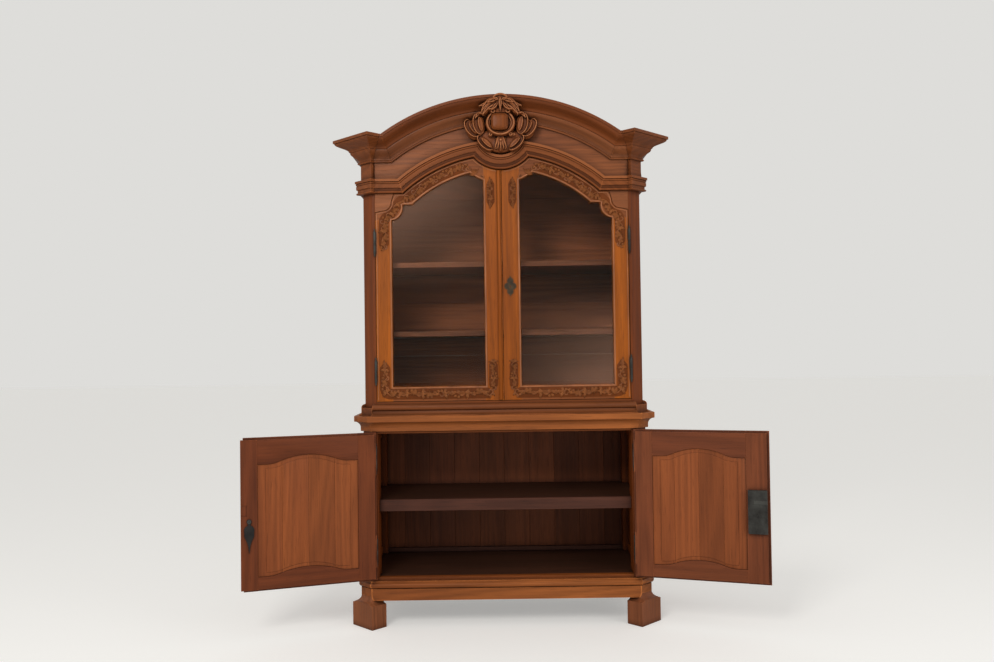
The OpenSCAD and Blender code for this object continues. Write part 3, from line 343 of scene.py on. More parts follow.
# %% [markdown]
# ## The recipe
# Every board gets this recipe. Its numbers read like a finisher's notes: `rough` and `shine` are the
# wax. Two amounts run from 0 to 1: how pale the sharp edges get, which is wear with a painted
# highlight on it, and how dark the corners get, which is dirt with painted shade in it. `reach` is how
# far that dirt and painted shade creep out of a corner in metres, `figure` is how strongly the grain
# shows, `tips` gives the lowest and highest point of a carving above the doors' face, `depth` how pale
# those tips get as painted highlights, while the valleys below get painted shade, and `ridges` paints
# highlights on the bends and shade in the folds the same way. `boards` is the first seam and the width
# of a row of planks, so that each plank is cut from another place of the tree.

# %% The recipe for oak
PLANK_SHIFT = 9.0
DARK_PORE, DARK_DIRT_AND_SHADE = 0.3, 0.16
GRAIN_RELIEF = {"Strength": 0.35, "Distance": 0.0008}


def oak(name, pale, dark, grain="Z", turn=0.0, boards=None, rough=0.46, wear_and_highlight=0.35, dirt_and_shade=0.75, shine=0.2,
        reach=0.028, figure=1.0, tips=None, depth=0.78, ridges=0.0):
    material, tree, shader = new_material(name)
    along, across, deep = grain_space(tree, grain, turn)
    if boards:
        tint = plank_shift(tree, across, *boards)
        along = calc(tree, "ADD", along, calc(tree, "MULTIPLY", tint, PLANK_SHIFT))
    rings, broad, fine, pores, patches = oak_figure(tree, along, across, deep)

    colour = mix(tree, rescale(tree, broad, 0.0, 1.0, 0.25, 0.85), dark, pale)
    shade = rescale(tree, rings, 0.0, 1.0, 1 - 0.15 * figure, 1 + 0.06 * figure)
    threads = rescale(tree, fine, 0.3, 0.7, 1 - 0.15 * figure, 1 + 0.13 * figure)
    shade = calc(tree, "MULTIPLY", shade, threads)
    if boards:
        shade = calc(tree, "MULTIPLY", shade, rescale(tree, tint, 0.0, 1.0, 0.84, 1.14))
    grey = add(tree, "CombineColor", {0: shade, 1: shade, 2: shade}).outputs[0]
    colour = mix(tree, 1.0, colour, grey, "MULTIPLY")
    colour = mix(tree, calc(tree, "MULTIPLY", pores, 0.4), colour, scaled(dark, DARK_PORE))
    # Painted highlights and painted shade on carving, by height and by bend.
    if tips:
        colour = painted_light_by_height(tree, colour, pale, dark, tips, depth)
    if ridges:
        colour = painted_light_by_bend(tree, colour, pale, dark, ridges)
    # Painted shade, with dirt, in the corners; then the pale edges, worn and with a painted highlight.
    grime_and_shade = corner_dirt_and_shade(tree, reach, dirt_and_shade)
    colour = mix(tree, grime_and_shade, colour, scaled(dark, DARK_DIRT_AND_SHADE))
    if wear_and_highlight:
        colour = mix(tree, edge_wear_and_highlight(tree, patches, wear_and_highlight), colour, scaled(pale, *RUBBED_EDGE_AND_HIGHLIGHT))
    tree.links.new(colour, shader.inputs["Base Color"])

    gloss = rescale(tree, calc(tree, "ADD", fine, grime_and_shade), 0.3, 1.4, rough, rough + 0.25)
    tree.links.new(gloss, shader.inputs["Roughness"])
    shader.inputs["Specular IOR Level"].default_value = shine
    relief = calc(tree, "SUBTRACT", fine, pores)
    relief = calc(tree, "ADD", calc(tree, "MULTIPLY", rings, 0.25), relief)
    bump = add(tree, "Bump", {**GRAIN_RELIEF, "Height": relief})
    tree.links.new(bump.outputs[0], shader.inputs["Normal"])
    return material


# %% Lay a finish on the pieces
def finish_with(material, *names):
    for name in names:
        piece = nodes[name]
        for slot in piece.material_slots:
            slot.material = material
        if not piece.material_slots:
            piece.data.materials.append(material)
    return len(names)


# %% [markdown]
# ## One finish per part of the cabinet
# The joiner chose clear golden boards for the doors, and the sun and the polish have given each
# part outside its own depth of colour: the posts are redder and darker, the cornice browner. The
# inside is painted nearly black, as painted shade. Each colour was matched part by part, and the
# grain follows each board.

# %% Colours and grain of the carcass
rail_colours = paint(148, 78, 28), paint(102, 47, 17)
cornice_colours = paint(140, 80, 42), paint(90, 46, 24)

count = finish_with(oak("oak_posts", paint(132, 64, 18), paint(86, 36, 10), "Z"),
                    "lower_posts", "upper_posts")
count += finish_with(oak("oak_feet", paint(154, 92, 56), paint(104, 54, 32), "Z"),
                     "front_feet", "rear_feet")
count += finish_with(oak("oak_side_rails", *rail_colours, "Y"), "lower_side_rails", "upper_side_rails")
count += finish_with(oak("oak_side_panels", *rail_colours, "Z"), "lower_side_panels", "upper_side_panels")
count += finish_with(oak("oak_rails", *rail_colours, "X"), "lower_front_rails", "upper_bottom_rail",
                     "lower_top_board")
count += finish_with(oak("oak_head", paint(156, 91, 49), paint(107, 56, 29), "X", rough=0.42, shine=0.22,
                         reach=0.04), "head_board")
count += finish_with(oak("oak_mouldings", paint(175, 101, 48), paint(113, 56, 25), "round", wear_and_highlight=0.9,
                         dirt_and_shade=0.95, reach=0.036), "base_moulding", "waist_moulding")
count += finish_with(oak("oak_foot_moulding", paint(144, 80, 38), paint(94, 46, 21), "round", wear_and_highlight=0.9,
                         dirt_and_shade=0.95, reach=0.036), "upper_base_moulding")
# The architrave's proudest fillets get painted highlights and its grooves painted shade, by height.
count += finish_with(oak("oak_architrave", paint(140, 77, 38), paint(96, 48, 23), "arch", wear_and_highlight=0.9,
                         dirt_and_shade=0.95, rough=0.42, shine=0.1, reach=0.016, tips=(0.0095, 0.0203),
                         depth=0.5), "architrave")
count += finish_with(oak("oak_bed", *cornice_colours, "arch", wear_and_highlight=0.5, dirt_and_shade=0.95, rough=0.38, shine=0.25,
                         reach=0.018), "bed_moulding")
count += finish_with(oak("oak_crown", paint(134, 70, 30), paint(90, 43, 18), "arch", wear_and_highlight=0.9, rough=0.42),
                     "crown_moulding")
count += finish_with(oak("oak_corners", paint(146, 80, 38), paint(96, 48, 22), "round", wear_and_highlight=0.5),
                     "corner_blocks")
count += finish_with(oak("oak_returns", *cornice_colours, "Y", wear_and_highlight=0.5), "side_cornices")
print(count, "pieces of the carcass finished")

# %% Colours and grain of the inside
HIGH_BACK = (0.941, 2.130)
HIGH_BOARDS = 9

low_boards = (-0.63, 0.126)
high_boards = (HIGH_BACK[0], (HIGH_BACK[1] - HIGH_BACK[0]) / HIGH_BOARDS)
count = finish_with(oak("oak_back_low", paint(142, 80, 48), paint(80, 40, 24), "Z", boards=low_boards,
                        wear_and_highlight=0.1), "lower_back_boards")
count += finish_with(oak("oak_back_high", paint(150, 88, 56), paint(92, 49, 30), "X", boards=high_boards,
                         wear_and_highlight=0.1), "upper_back_boards")
# The shelves, lips, floors and bearers are painted much darker than the outside oak: painted shade inside
# the cabinet.
count += finish_with(oak("oak_shelves_shaded", paint(116, 70, 50), paint(72, 39, 26), "X", wear_and_highlight=0.3),
                     "upper_shelves")
count += finish_with(oak("oak_lips_shaded", paint(98, 58, 44), paint(60, 32, 22), "X", wear_and_highlight=0.3),
                     "shelf_lip", "lower_battens")
count += finish_with(oak("oak_floors_shaded", paint(76, 46, 32), paint(42, 24, 16), "X", wear_and_highlight=0.1),
                     "bottom_board", "middle_shelf", "upper_floor_board", "roof_board")
count += finish_with(oak("oak_bearers_shaded", paint(78, 44, 30), paint(40, 21, 14), "Y", wear_and_highlight=0.1),
                     "upper_bearers")
print(count, "pieces of the inside finished")

# %% [markdown]
# ## The doors' boards
# The glazed doors are the brightest wood of all. The lower doors stand open, so their grain is
# turned by the same angle, and the seams between the boards of their panels are looked for where
# the turned door has carried them. Four boards fill each panel, from tongue to tongue.

# %% Colours and grain of the doors
PANEL_HOLE = {"left": 62.751, "right": 94.249}
PANEL_END = 495
PANEL_TONGUE = 9
PANEL_BOARDS = 4


def turned_start(side, closed_x):
    back = Vector((side * HINGE.x, HINGE.y, 0))
    away = -back
    back.rotate(Euler((0, 0, -side * OPEN)))
    return side * closed_x / 1000 + (back + away).x


glazed_colours = paint(179, 95, 18), paint(128, 61, 10)
free_colours = {"left": (paint(126, 64, 32), paint(88, 40, 20)),
                "right": (paint(134, 72, 40), paint(94, 45, 25))}
count = finish_with(oak("oak_glazed_stiles", *glazed_colours, "Z", wear_and_highlight=0.6, rough=0.44),
                    "upper_left_stiles", "upper_right_stiles", "upper_left_beads", "upper_right_beads")
count += finish_with(oak("oak_glazed_rails", paint(148, 83, 40), paint(102, 51, 24), "X", wear_and_highlight=0.6),
                     "upper_left_rails", "upper_right_rails")
for side, word in ((-1, "left"), (1, "right")):
    turn = -side * OPEN
    count += finish_with(oak("oak_stiles_" + word, *free_colours[word], "Z", turn, wear_and_highlight=0.7),
                         f"lower_{word}_stiles")
    count += finish_with(oak("oak_rails_" + word, *free_colours[word], "X", turn, wear_and_highlight=0.7),
                         f"lower_{word}_rails")
    start, end = PANEL_HOLE[word] - PANEL_TONGUE, PANEL_END + PANEL_TONGUE
    pitch = (end - start) / PANEL_BOARDS
    first = turned_start(side, start if side > 0 else end)
    count += finish_with(oak("oak_panel_" + word, paint(158, 86, 43), paint(118, 59, 29), "Z", turn,
                             (first, pitch / 1000), wear_and_highlight=0.6, figure=0.8), f"lower_{word}_panel")
print(count, "door pieces finished")

# %% [markdown]
# ## Iron, bronze and glass
# The smith's work is forged iron that has darkened with wax and rusted a little, and the plate
# round the keyhole is bronze gone nearly black. Both are metals whose colour and roughness change
# in blotches. The panes are thin old glass: mostly clear, with a faint reflection, and with a pale
# diffuse film low on the right and high on the left that is a painted reflection. To shadow rays
# they are clear, which lets the light into the cabinet.

# %% Metals
WORN_EDGE = 0.003
GRIT = {"Strength": 0.25, "Distance": 0.0006}


def metal(name, bright, dull, rough, metallic):
    material, tree, shader = new_material(name)
    where = add(tree, "TexCoord").outputs["Object"]
    blotch = add(tree, "TexNoise", {"Vector": where, "Scale": 25.0, "Detail": 4.0}).outputs[0]
    grit = add(tree, "TexNoise", {"Vector": where, "Scale": 500.0, "Detail": 2.0}).outputs[0]
    colour = mix(tree, rescale(tree, blotch, 0.35, 0.68), dull, bright)
    edge = add(tree, "AmbientOcclusion", {"Distance": WORN_EDGE}, samples=AO_SAMPLES, inside=True)
    worn = rescale(tree, edge.outputs["AO"], 0.4, 0.75, 0.5, 0.0)
    colour = mix(tree, worn, colour, scaled(bright, 2.2))
    tree.links.new(colour, shader.inputs["Base Color"])
    tree.links.new(rescale(tree, blotch, 0.3, 0.7, rough + 0.2, rough), shader.inputs["Roughness"])
    shader.inputs["Metallic"].default_value = metallic
    bump = add(tree, "Bump", {**GRIT, "Height": calc(tree, "ADD", blotch, grit)})
    tree.links.new(bump.outputs[0], shader.inputs["Normal"])
    return material


iron = metal("forged_iron", paint(64, 64, 60), paint(36, 33, 30), 0.48, 0.5)
black_iron = metal("blackened_iron", paint(34, 32, 30), paint(17, 15, 14), 0.5, 0.3)
bronze = metal("dark_bronze", paint(74, 58, 38), paint(34, 28, 21), 0.42, 0.6)
count = finish_with(iron, "lower_hinge_pins", "upper_hinge_pins", "lower_left_ironwork",
                    "lower_right_knuckles", "lower_lock_case", "lower_lock_bolt", "upper_left_ironwork",
                    "upper_foot_bolt", "upper_right_knuckles", "upper_lock_case", "upper_lock_bolt")
count += finish_with(black_iron, "leaf_latch") + finish_with(bronze, "upper_escutcheon")
print(count, "pieces of metal")

# %% Glass
GLASS_BEND = 1.18
# Colour of the painted reflection on the panes, and the height where it changes side.
REFLECTION_TURN_HEIGHT = 1.5
PAINTED_REFLECTION = (0.6, 0.34, 0.24, 1)
CLEAR = (0.92, 0.9, 0.86, 1)


def pane_glass():
    material, tree, shader = new_material("old_glass")
    shader.inputs["Base Color"].default_value = paint(238, 232, 218)
    shader.inputs["Transmission Weight"].default_value = 1.0
    shader.inputs["IOR"].default_value = GLASS_BEND
    where = add(tree, "TexCoord").outputs["Object"]
    reflection_patches = add(tree, "TexNoise", {"Vector": where, "Scale": 3.0, "Detail": 2.0}).outputs[0]
    shader.inputs["Roughness"].default_value = 0.0
    x, _, z = add(tree, "SeparateXYZ", {0: where}).outputs
    # A painted reflection: a pale diffuse film low on the right and high on the left, in patches.
    reflection_film = calc(tree, "MULTIPLY", x, calc(tree, "SUBTRACT", REFLECTION_TURN_HEIGHT, z))
    reflection_film = rescale(tree, reflection_film, 0.0, 0.2, 0.0, 0.13)
    reflection_film = calc(tree, "MULTIPLY", reflection_film, rescale(tree, reflection_patches, 0.3, 0.7, 0.8, 1.2))
    reflection_sheet = add(tree, "BsdfDiffuse", {0: PAINTED_REFLECTION})
    pane = add(tree, "MixShader", {0: reflection_film, 1: shader.outputs[0], 2: reflection_sheet.outputs[0]})
    shadow = add(tree, "LightPath").outputs["Is Shadow Ray"]
    clear = add(tree, "BsdfTransparent", {0: CLEAR})
    both = add(tree, "MixShader", {0: shadow, 1: pane.outputs[0], 2: clear.outputs[0]})
    tree.links.new(both.outputs[0], tree.nodes["Material Output"].inputs[0])
    return material


print(finish_with(pane_glass(), "upper_left_glass", "upper_right_glass"), "panes")

# %% [markdown]
# ## Soft edges
# No hand-planed edge is sharp. The CAD faces come apart at every edge, so they are welded first,
# flat neighbours are merged, and then each real edge gets a small round. Modifiers do it, because
# the frame's own meshes stay as they were cut.

# %% Round the edges of the joinery
WOOD_EDGE = 0.0016
METAL_EDGE = 0.0006
WELD_GAP = 0.00002
FLAT_ANGLE = 0.5
SHARP_ANGLE = 40


def soften(name, width):
    piece = nodes[name]
    weld = piece.modifiers.new("weld", "WELD")
    weld.merge_threshold = WELD_GAP
    flat = piece.modifiers.new("flat", "DECIMATE")
    flat.decimate_type = "DISSOLVE"
    flat.angle_limit = math.radians(FLAT_ANGLE)
    edge = piece.modifiers.new("edge", "BEVEL")
    edge.width = width
    edge.segments = 2
    edge.limit_method = "ANGLE"
    edge.angle_limit = math.radians(SHARP_ANGLE)
    edge.harden_normals = True


joinery = [name for name in nodes if "glass" not in name and name != "cartouche"]
for name in joinery:
    is_metal = nodes[name].material_slots[0].material in (iron, black_iron, bronze)
    soften(name, METAL_EDGE if is_metal else WOOD_EDGE)
print(len(joinery), "pieces with soft edges")

# %% [markdown]
# ## Tongues between the back boards
# The boards of the lower back only touch, and daylight would show through the seams. A joiner lets
# a thin loose tongue into both edges of each seam, and so does this cell. Nothing of it is seen
# but the dark behind the seam.

# %% Loose tongues
TONGUE_WIDE, TONGUE_THICK, TONGUE_SHORT = 0.006, 0.004, 0.01
SEAMS = 9


def tongues(name, material):
    mesh = bpy.data.meshes.new(name)
    low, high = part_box("lower_back_boards")
    shape = bmesh.new()
    deep, middle = (low[1] + high[1]) / 2, (low[2] + high[2]) / 2
    for n in range(1, SEAMS + 1):
        grown = bmesh.ops.create_cube(shape, size=1)["verts"]
        size = (TONGUE_WIDE, TONGUE_THICK, high[2] - low[2] - TONGUE_SHORT)
        bmesh.ops.scale(shape, vec=size, verts=grown)
        seam = low_boards[0] + n * low_boards[1]
        bmesh.ops.translate(shape, vec=(seam, deep, middle), verts=grown)
    shape.to_mesh(mesh)
    shape.free()
    mesh.materials.append(material)
    piece = new_object(name, mesh)
    return piece


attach(tongues("back_tongues", nodes["lower_battens"].material_slots[0].material), "cabinet")
print("tongues let in")

# %% [markdown]
# ## Carving tools
# The glazed doors carry low rococo carving, and over the arch sits a deeper shield. A carver draws
# such work as flowing lines and hangs leaves, scrolls and pearls on them. Here a ribbon does the
# same: it follows a line of points, is as wide as each point says, and has a rounded or a cleft
# section. Each cut is a small closed solid that reaches a little way into the wood behind it.

# %% The carver's ribbon
ROUND = [(-1, 0), (-0.82, 0.55), (-0.4, 0.95), (0.4, 0.95), (0.82, 0.55), (1, 0)]
CLEFT = [(-1, 0), (-0.8, 0.7), (-0.42, 1.0), (0, 0.4), (0.42, 1.0), (0.8, 0.7), (1, 0)]


def bearings(line, closed=False):
    last = len(line) - 1
    found = []
    for i, (x, z) in enumerate(line):
        before = line[i - 1] if i or closed else None
        after = line[(i + 1) % len(line)] if i < last or closed else None
        ways = []
        for a, b in ((before, (x, z)), ((x, z), after)):
            if a and b:
                size = math.dist(a, b)
                ways.append(((b[0] - a[0]) / size, (b[1] - a[1]) / size))
        sum_x, sum_z = sum(w[0] for w in ways), sum(w[1] for w in ways)
        size = max(math.hypot(sum_x, sum_z), 0.001)
        mitre = len(ways) / max(size, 0.7 * len(ways))
        found.append((sum_x / size, sum_z / size, mitre))
    return found


def ribbon(line, widths, height, base=0.0, section=ROUND, closed=False, sink=1.0):
    widest = max(widths)
    size = len(section) + 2
    spots, faces = [], []
    for (x, z), (dx, dz, mitre), width in zip(line, bearings(line, closed), widths):
        nx, nz = -dz * mitre * width / 2, dx * mitre * width / 2
        lift = height * math.sqrt(width / widest)
        spots += [(x + nx * u, base + lift * h, z + nz * u) for u, h in section]
        spots += [(x + nx, base - sink, z + nz), (x - nx, base - sink, z - nz)]
    rings = len(line)
    for i in range(rings if closed else rings - 1):
        j = (i + 1) % rings
        for k in range(size):
            m = (k + 1) % size
            faces.append((i * size + k, i * size + m, j * size + m, j * size + k))
    if not closed:
        faces += [tuple(range(size)), tuple(range((rings - 1) * size, rings * size))[::-1]]
    return spots, faces


# %% Leaves and scrolls
LEAF_SHAPE = [0.35, 0.72, 0.95, 1.0, 0.86, 0.62, 0.36, 0.12]


def turned(x, z, u, v, lean):
    return x + u * math.cos(lean) - v * math.sin(lean), z + u * math.sin(lean) + v * math.cos(lean)


def leaf(x, z, angle, length, width, curl=0.5, base=0.0, height=3.0, sink=1.0, section=CLEFT):
    step = length / (len(LEAF_SHAPE) - 1)
    line = [(x, z)]
    for i in range(1, len(LEAF_SHAPE)):
        turn = angle + curl * i / (len(LEAF_SHAPE) - 1)
        x, z = x + math.cos(turn) * step, z + math.sin(turn) * step
        line.append((x, z))
    return ribbon(line, [width * share for share in LEAF_SHAPE], height, base, section, sink=sink)


def scroll(x, z, angle, radius, hand=1, turns=1.25, width=4.0, base=0.0, height=3.0, sink=1.0):
    count = round(16 * turns)
    line, widths = [], []
    for i in range(count + 1):
        t = i / count
        reach = radius * (1 - 0.74 * t)
        turn = angle + hand * turns * math.tau * t
        line.append((x + math.cos(turn) * reach, z + math.sin(turn) * reach))
        widths.append(width * (0.3 + 0.7 * math.sin(math.pi * (0.12 + 0.7 * t))))
    return ribbon(line, widths, height, base, sink=sink)


def bow(x, z, wide, tall, first, last, width, base, height, sink, lean=0.0, ends=0.35, steps=20):
    line, widths = [], []
    for i in range(steps + 1):
        t = i / steps
        a = math.radians(first + (last - first) * t)
        u, v = math.cos(a) * wide, math.sin(a) * tall
        line.append(turned(x, z, u, v, lean))
        widths.append(width * (ends + (1 - ends) * math.sin(math.pi * t) ** 0.6))
    return ribbon(line, widths, height, base, sink=sink)


# %% Pads and pearls
def pad(x, z, wide, tall, profile, lean=0.0, around=24, back=-2.0, square=1.0):
    spots, faces = [], []
    for share, high in [(1.0, back)] + profile:
        for k in range(around):
            a = math.tau * (k + 0.5) / around
            c, s = math.cos(a), math.sin(a)
            u = math.copysign(abs(c) ** square, c) * wide * share
            v = math.copysign(abs(s) ** square, s) * tall * share
            across, up = turned(x, z, u, v, lean)
            spots.append((across, high, up))
    rings = len(profile) + 1
    for i in range(rings - 1):
        for k in range(around):
            m = (k + 1) % around
            faces.append((i * around + k, i * around + m, (i + 1) * around + m, (i + 1) * around + k))
    faces += [tuple(range(around))[::-1], tuple(range((rings - 1) * around, rings * around))]
    return spots, faces


def pearl(x, z, radius, base=0.0):
    rise = [(math.cos(a), base + radius * math.sin(a)) for a in (0.0, 0.5, 0.95, 1.3)]
    return pad(x, z, radius, radius, rise, around=10, back=base - 1)


# %% Join the cuts into one piece
CREASE = 50


def carved(name, cuts, material, mirrored=False):
    spots, faces = [], []
    for cut_spots, cut_faces in cuts:
        start = len(spots)
        spots += [place(-x if mirrored else x, -proud, z) for x, proud, z in cut_spots]
        faces += [tuple(start + n for n in face) for face in cut_faces]
    mesh = bpy.data.meshes.new(name)
    mesh.from_pydata(spots, [], faces)
    shape = bmesh.new()
    shape.from_mesh(mesh)
    bmesh.ops.recalc_face_normals(shape, faces=shape.faces)
    shape.to_mesh(mesh)
    shape.free()
    mesh.polygons.foreach_set("use_smooth", [True] * len(mesh.polygons))
    mesh.set_sharp_from_angle(angle=math.radians(CREASE))
    mesh.materials.append(material)
    piece = new_object(name, mesh)
    print(name, "has", len(cuts), "cuts and", len(mesh.polygons), "faces")
    return piece


# %% [markdown]
# ## Rocaille
# Rococo carvers filled such a border with one small motif after another: a swirl with leaves on its
# back, a shell of ribs, a flower, a spray of long curled leaves, joined by a thin stem. No two are
# alike, so each is drawn with random sizes from a seeded dice, which gives the same carving every
# time. The ground between them is cut back and matted; it is painted darker, partly for the dirt it
# holds and partly as painted shade.

# %% Lines to follow
def spread(corners, step=4.0, rounds=6):
    line = []
    for a, b in zip(corners, corners[1:]):
        count = max(1, round(math.dist(a, b) / step))
        line += [(a[0] + (b[0] - a[0]) * i / count, a[1] + (b[1] - a[1]) * i / count)
                 for i in range(count)]
    line.append(corners[-1])
    for _ in range(rounds):
        inner = [((a[0] + 2 * b[0] + c[0]) / 4, (a[1] + 2 * b[1] + c[1]) / 4)
                 for a, b, c in zip(line, line[1:], line[2:])]
        line = [line[0]] + inner + [line[-1]]
    return line


def lengths(line):
    travelled = [0.0]
    for a, b in zip(line, line[1:]):
        travelled.append(travelled[-1] + math.dist(a, b))
    return travelled


def beside(x, z, angle, distance):
    return x + math.cos(angle) * distance, z + math.sin(angle) * distance


# %% Swirl and shell
def swirl(x, z, forward, side, width, base, dice):
    cross = forward + side * math.pi / 2
    x, z = beside(x, z, cross, -0.12 * width)
    cuts = [scroll(x, z, cross, 0.29 * width, -side, 0.8, 0.13 * width, base, 1.7)]
    for n in range(4):
        turn = cross + side * (1.3 - 0.8 * n)
        start = beside(x, z, turn, 0.24 * width)
        long = width * dice.uniform(0.32, 0.44)
        cuts.append(leaf(*start, turn + side * 0.3, long, 0.23 * width, side * dice.uniform(0.3, 1.0),
                         base, dice.uniform(3.0, 4.2)))
    return cuts


def shell(x, z, forward, side, width, base, dice):
    cross = forward + side * math.pi / 2
    x, z = beside(x, z, cross, -0.32 * width)
    cuts = [scroll(*beside(x, z, forward, s * 0.2 * width), cross, 0.14 * width, s * side, 0.8,
                   0.1 * width, base, 1.6) for s in (-1, 1)]
    for n in range(-3, 4):
        long = width * (0.66 - 0.06 * abs(n)) * dice.uniform(0.92, 1.08)
        cuts.append(leaf(x, z, cross + 0.36 * n, long, 0.19 * width, 0.12 * n, base,
                         dice.uniform(3.0, 4.0)))
    return cuts


# %% Flower and spray
def flower(x, z, forward, side, width, base, dice):
    spin = dice.uniform(0, 1.2)
    cuts = []
    for s in (-1, 1):
        turn = forward + (0 if s > 0 else math.pi) + s * side * 0.6
        start = beside(x, z, forward, s * 0.1 * width)
        cuts.append(leaf(*start, turn, 0.5 * width, 0.2 * width, -s * side * 0.9, base, 3.4))
    for n in range(5):
        cuts.append(leaf(x, z, spin + n * math.tau / 5, 0.3 * width, 0.21 * width, 0.0, base, 3.0))
    return cuts + [pearl(x, z, 0.05 * width, base)]


def spray(x, z, forward, side, width, base, dice):
    start = beside(x, z, forward, -0.3 * width)
    cuts = []
    for n in (-1, 0, 1):
        long = width * dice.uniform(0.55, 0.75)
        curl = n * side * dice.uniform(0.9, 1.5)
        cuts.append(leaf(*start, forward + n * 0.5 * side, long, 0.24 * width, curl, base,
                         dice.uniform(3.2, 4.2)))
        drop = beside(*start, forward + n * side * 0.9 + 0.2, 0.34 * width)
        cuts.append(pearl(*drop, 0.05 * width, base))
    return cuts


# %% Fill a border with motifs
FLAT = [(-1, 0.0), (-0.97, 1.0), (0.97, 1.0), (1, 0.0)]
TAPER = 30


def ground(line, width):
    travelled = lengths(line)
    widths = [width * min(1.0, 0.25 + s / TAPER, 0.25 + (travelled[-1] - s) / TAPER) for s in travelled]
    return ribbon(line, widths, 0.35, 0.0, FLAT)


def rocaille(line, width, seed, base=0.3, pitch=0.5):
    dice = random.Random(seed)
    travelled, ways = lengths(line), bearings(line)
    stem = []
    for (x, z), (dx, dz, _), s in zip(line, ways, travelled):
        off = width * (0.16 * math.sin(s / (0.21 * width) + seed) + 0.08 * math.sin(s / (0.13 * width)))
        stem.append((x - dz * off, z + dx * off))
    cuts = [ribbon(stem, [0.1 * width] * len(stem), 2.4, base)]
    at, side, last = 0.3 * width, 1, None
    while at < travelled[-1] - 0.25 * width:
        i = min(range(len(line)), key=lambda k: abs(travelled[k] - at))
        forward = math.atan2(ways[i][1], ways[i][0])
        x, z = beside(*line[i], forward + math.pi / 2, dice.uniform(-0.07, 0.07) * width)
        motif = dice.choice([m for m in (swirl, shell, flower, spray) if m is not last])
        cuts += motif(x, z, forward, side, width, base, dice)
        last = motif
        at += pitch * width * dice.uniform(0.85, 1.15)
        side = -side
    return cuts


# %% The lines of the doors' carving
ARCH = (0.0, ARCH_CENTRE_Z * 1000)
DROP = (0.0, 2208.7)


def on_circle(centre, radius, degrees):
    a = math.radians(degrees)
    return centre[0] + radius * math.cos(a), centre[1] + radius * math.sin(a)


RAIL_RADIUS = 631
arched = [on_circle(ARCH, RAIL_RADIUS, 76 - n * 2.0) for n in range(14)]
round_ear = [(455, 1909), (476, 1886), (490, 1862), (512, 1842), (531, 1824), (533, 1800), (533, 1690)]
rail_line = spread(arched + round_ear)
foot_line = spread([(533, 1180), (533, 1056), (524, 1040), (505, 1038), (46, 1038)])
meeting_foot = spread([(46, 1188), (46, 1050)])
meeting_head = spread([(49, 2004), (49, 1876)])
print("rail line", len(rail_line), "points, foot line", len(foot_line), "points")

# %% [markdown]
# ## The moulding round the glass
# A smooth half-round runs round each pane and catches the light as one long line. Its line follows
# the opening: up the stiles, round the lobe at the hinge corner, along the arch, and down the short
# curve that echoes the drop in the middle of the cornice. A thinner bead follows the outer edge of
# the door, round the hollow ear at its hinge corner. Both are drawn as with compass and rule.

# %% The line of the moulding
SIGHT = {"inner": 80, "outer": 498, "foot": 1069, "step": 1892, "arch": 599, "arch_end": 400,
         "drop": 225}
LOBE = (504.0, 1878.0)
LOBE_RADIUS = 57


def arc(centre, radius, first, last, steps):
    return [on_circle(centre, radius, first + (last - first) * n / steps) for n in range(steps + 1)]


def sight_line(grow):
    left, right = SIGHT["inner"] - grow, SIGHT["outer"] + grow
    lobe, arch, drop = LOBE_RADIUS - grow, SIGHT["arch"] + grow, SIGHT["drop"] - grow
    apart = DROP[1] - ARCH[1]
    first = math.degrees(math.atan2(-math.sqrt(lobe ** 2 - (right - LOBE[0]) ** 2), right - LOBE[0]))
    line = [(left, SIGHT["foot"] - grow), (right, SIGHT["foot"] - grow)] + arc(LOBE, lobe, first, -180, 10)
    line += [(LOBE[0] - lobe + 2, SIGHT["step"] + grow)]
    line += [(SIGHT["arch_end"] + 2, SIGHT["step"] + grow + 2)]
    rise = (arch ** 2 - drop ** 2 + apart ** 2) / (2 * apart)
    half = math.sqrt(arch ** 2 - rise ** 2)
    first = math.degrees(math.acos(SIGHT["arch_end"] / arch))
    line += arc(ARCH, arch, first, math.degrees(math.asin(rise / arch)), 16)
    first = math.degrees(math.atan2(rise - apart, half))
    line += arc(DROP, drop, first, -math.degrees(math.acos(left / drop)), 6)[1:]
    return line


# %% The line of the bead
EDGE = {"side": 572, "foot": 1012, "shoulder": 1851, "ear_top": 1926, "step": 478, "head": 1943}
EAR = (538, 1904)
EAR_RADIUS = 39
HEAD_RADIUS = 663
DROP_RADIUS = 164


def edge_line(inset):
    ear_radius = EAR_RADIUS + inset
    arch, drop = HEAD_RADIUS - inset, DROP_RADIUS + inset
    side, flat = EDGE["side"] - inset, EDGE["head"] - inset
    apart = DROP[1] - ARCH[1]
    rise = (arch ** 2 - drop ** 2 + apart ** 2) / (2 * apart)
    line = [(side, EDGE["foot"]), (side, EDGE["shoulder"]), (EAR[0], EAR[1] - ear_radius)]
    line += arc(EAR, ear_radius, -100, -180, 8)
    line += [(EAR[0] - ear_radius - 8, EDGE["ear_top"]), (EDGE["step"], flat)]
    line += arc(ARCH, arch, math.degrees(math.asin((flat - ARCH[1]) / arch)),
                math.degrees(math.asin(rise / arch)), 20)
    first = math.degrees(math.atan2(rise - apart, math.sqrt(arch ** 2 - rise ** 2)))
    return line + arc(DROP, drop, first, -86, 6)[1:]


print("moulding", len(sight_line(4)), "points, bead", len(edge_line(8)), "points")

# %% [markdown]
# ## Carving on the glazed doors
# Both doors get the same cuts, once as drawn and once mirrored: the two long stems, a pendant at
# the head and foot of the meeting stile, a fan of leaves where the arch meets the drop, the
# moulding round the glass, and the thin bead that was scratched along the outer edge. A cut that
# would reach over the edge of the door is left out, because the door has to open. The carving is
# polished, with painted highlights on its tips and painted shade in its valleys, and its matted
# ground is dull and painted darker, partly for dirt and partly as painted shade, so that the leaves
# stand out.

# %% Keep the cuts on the door
HEAD_START = 1800
HEAD_MARGIN = 6
EAR_MARGIN = 4


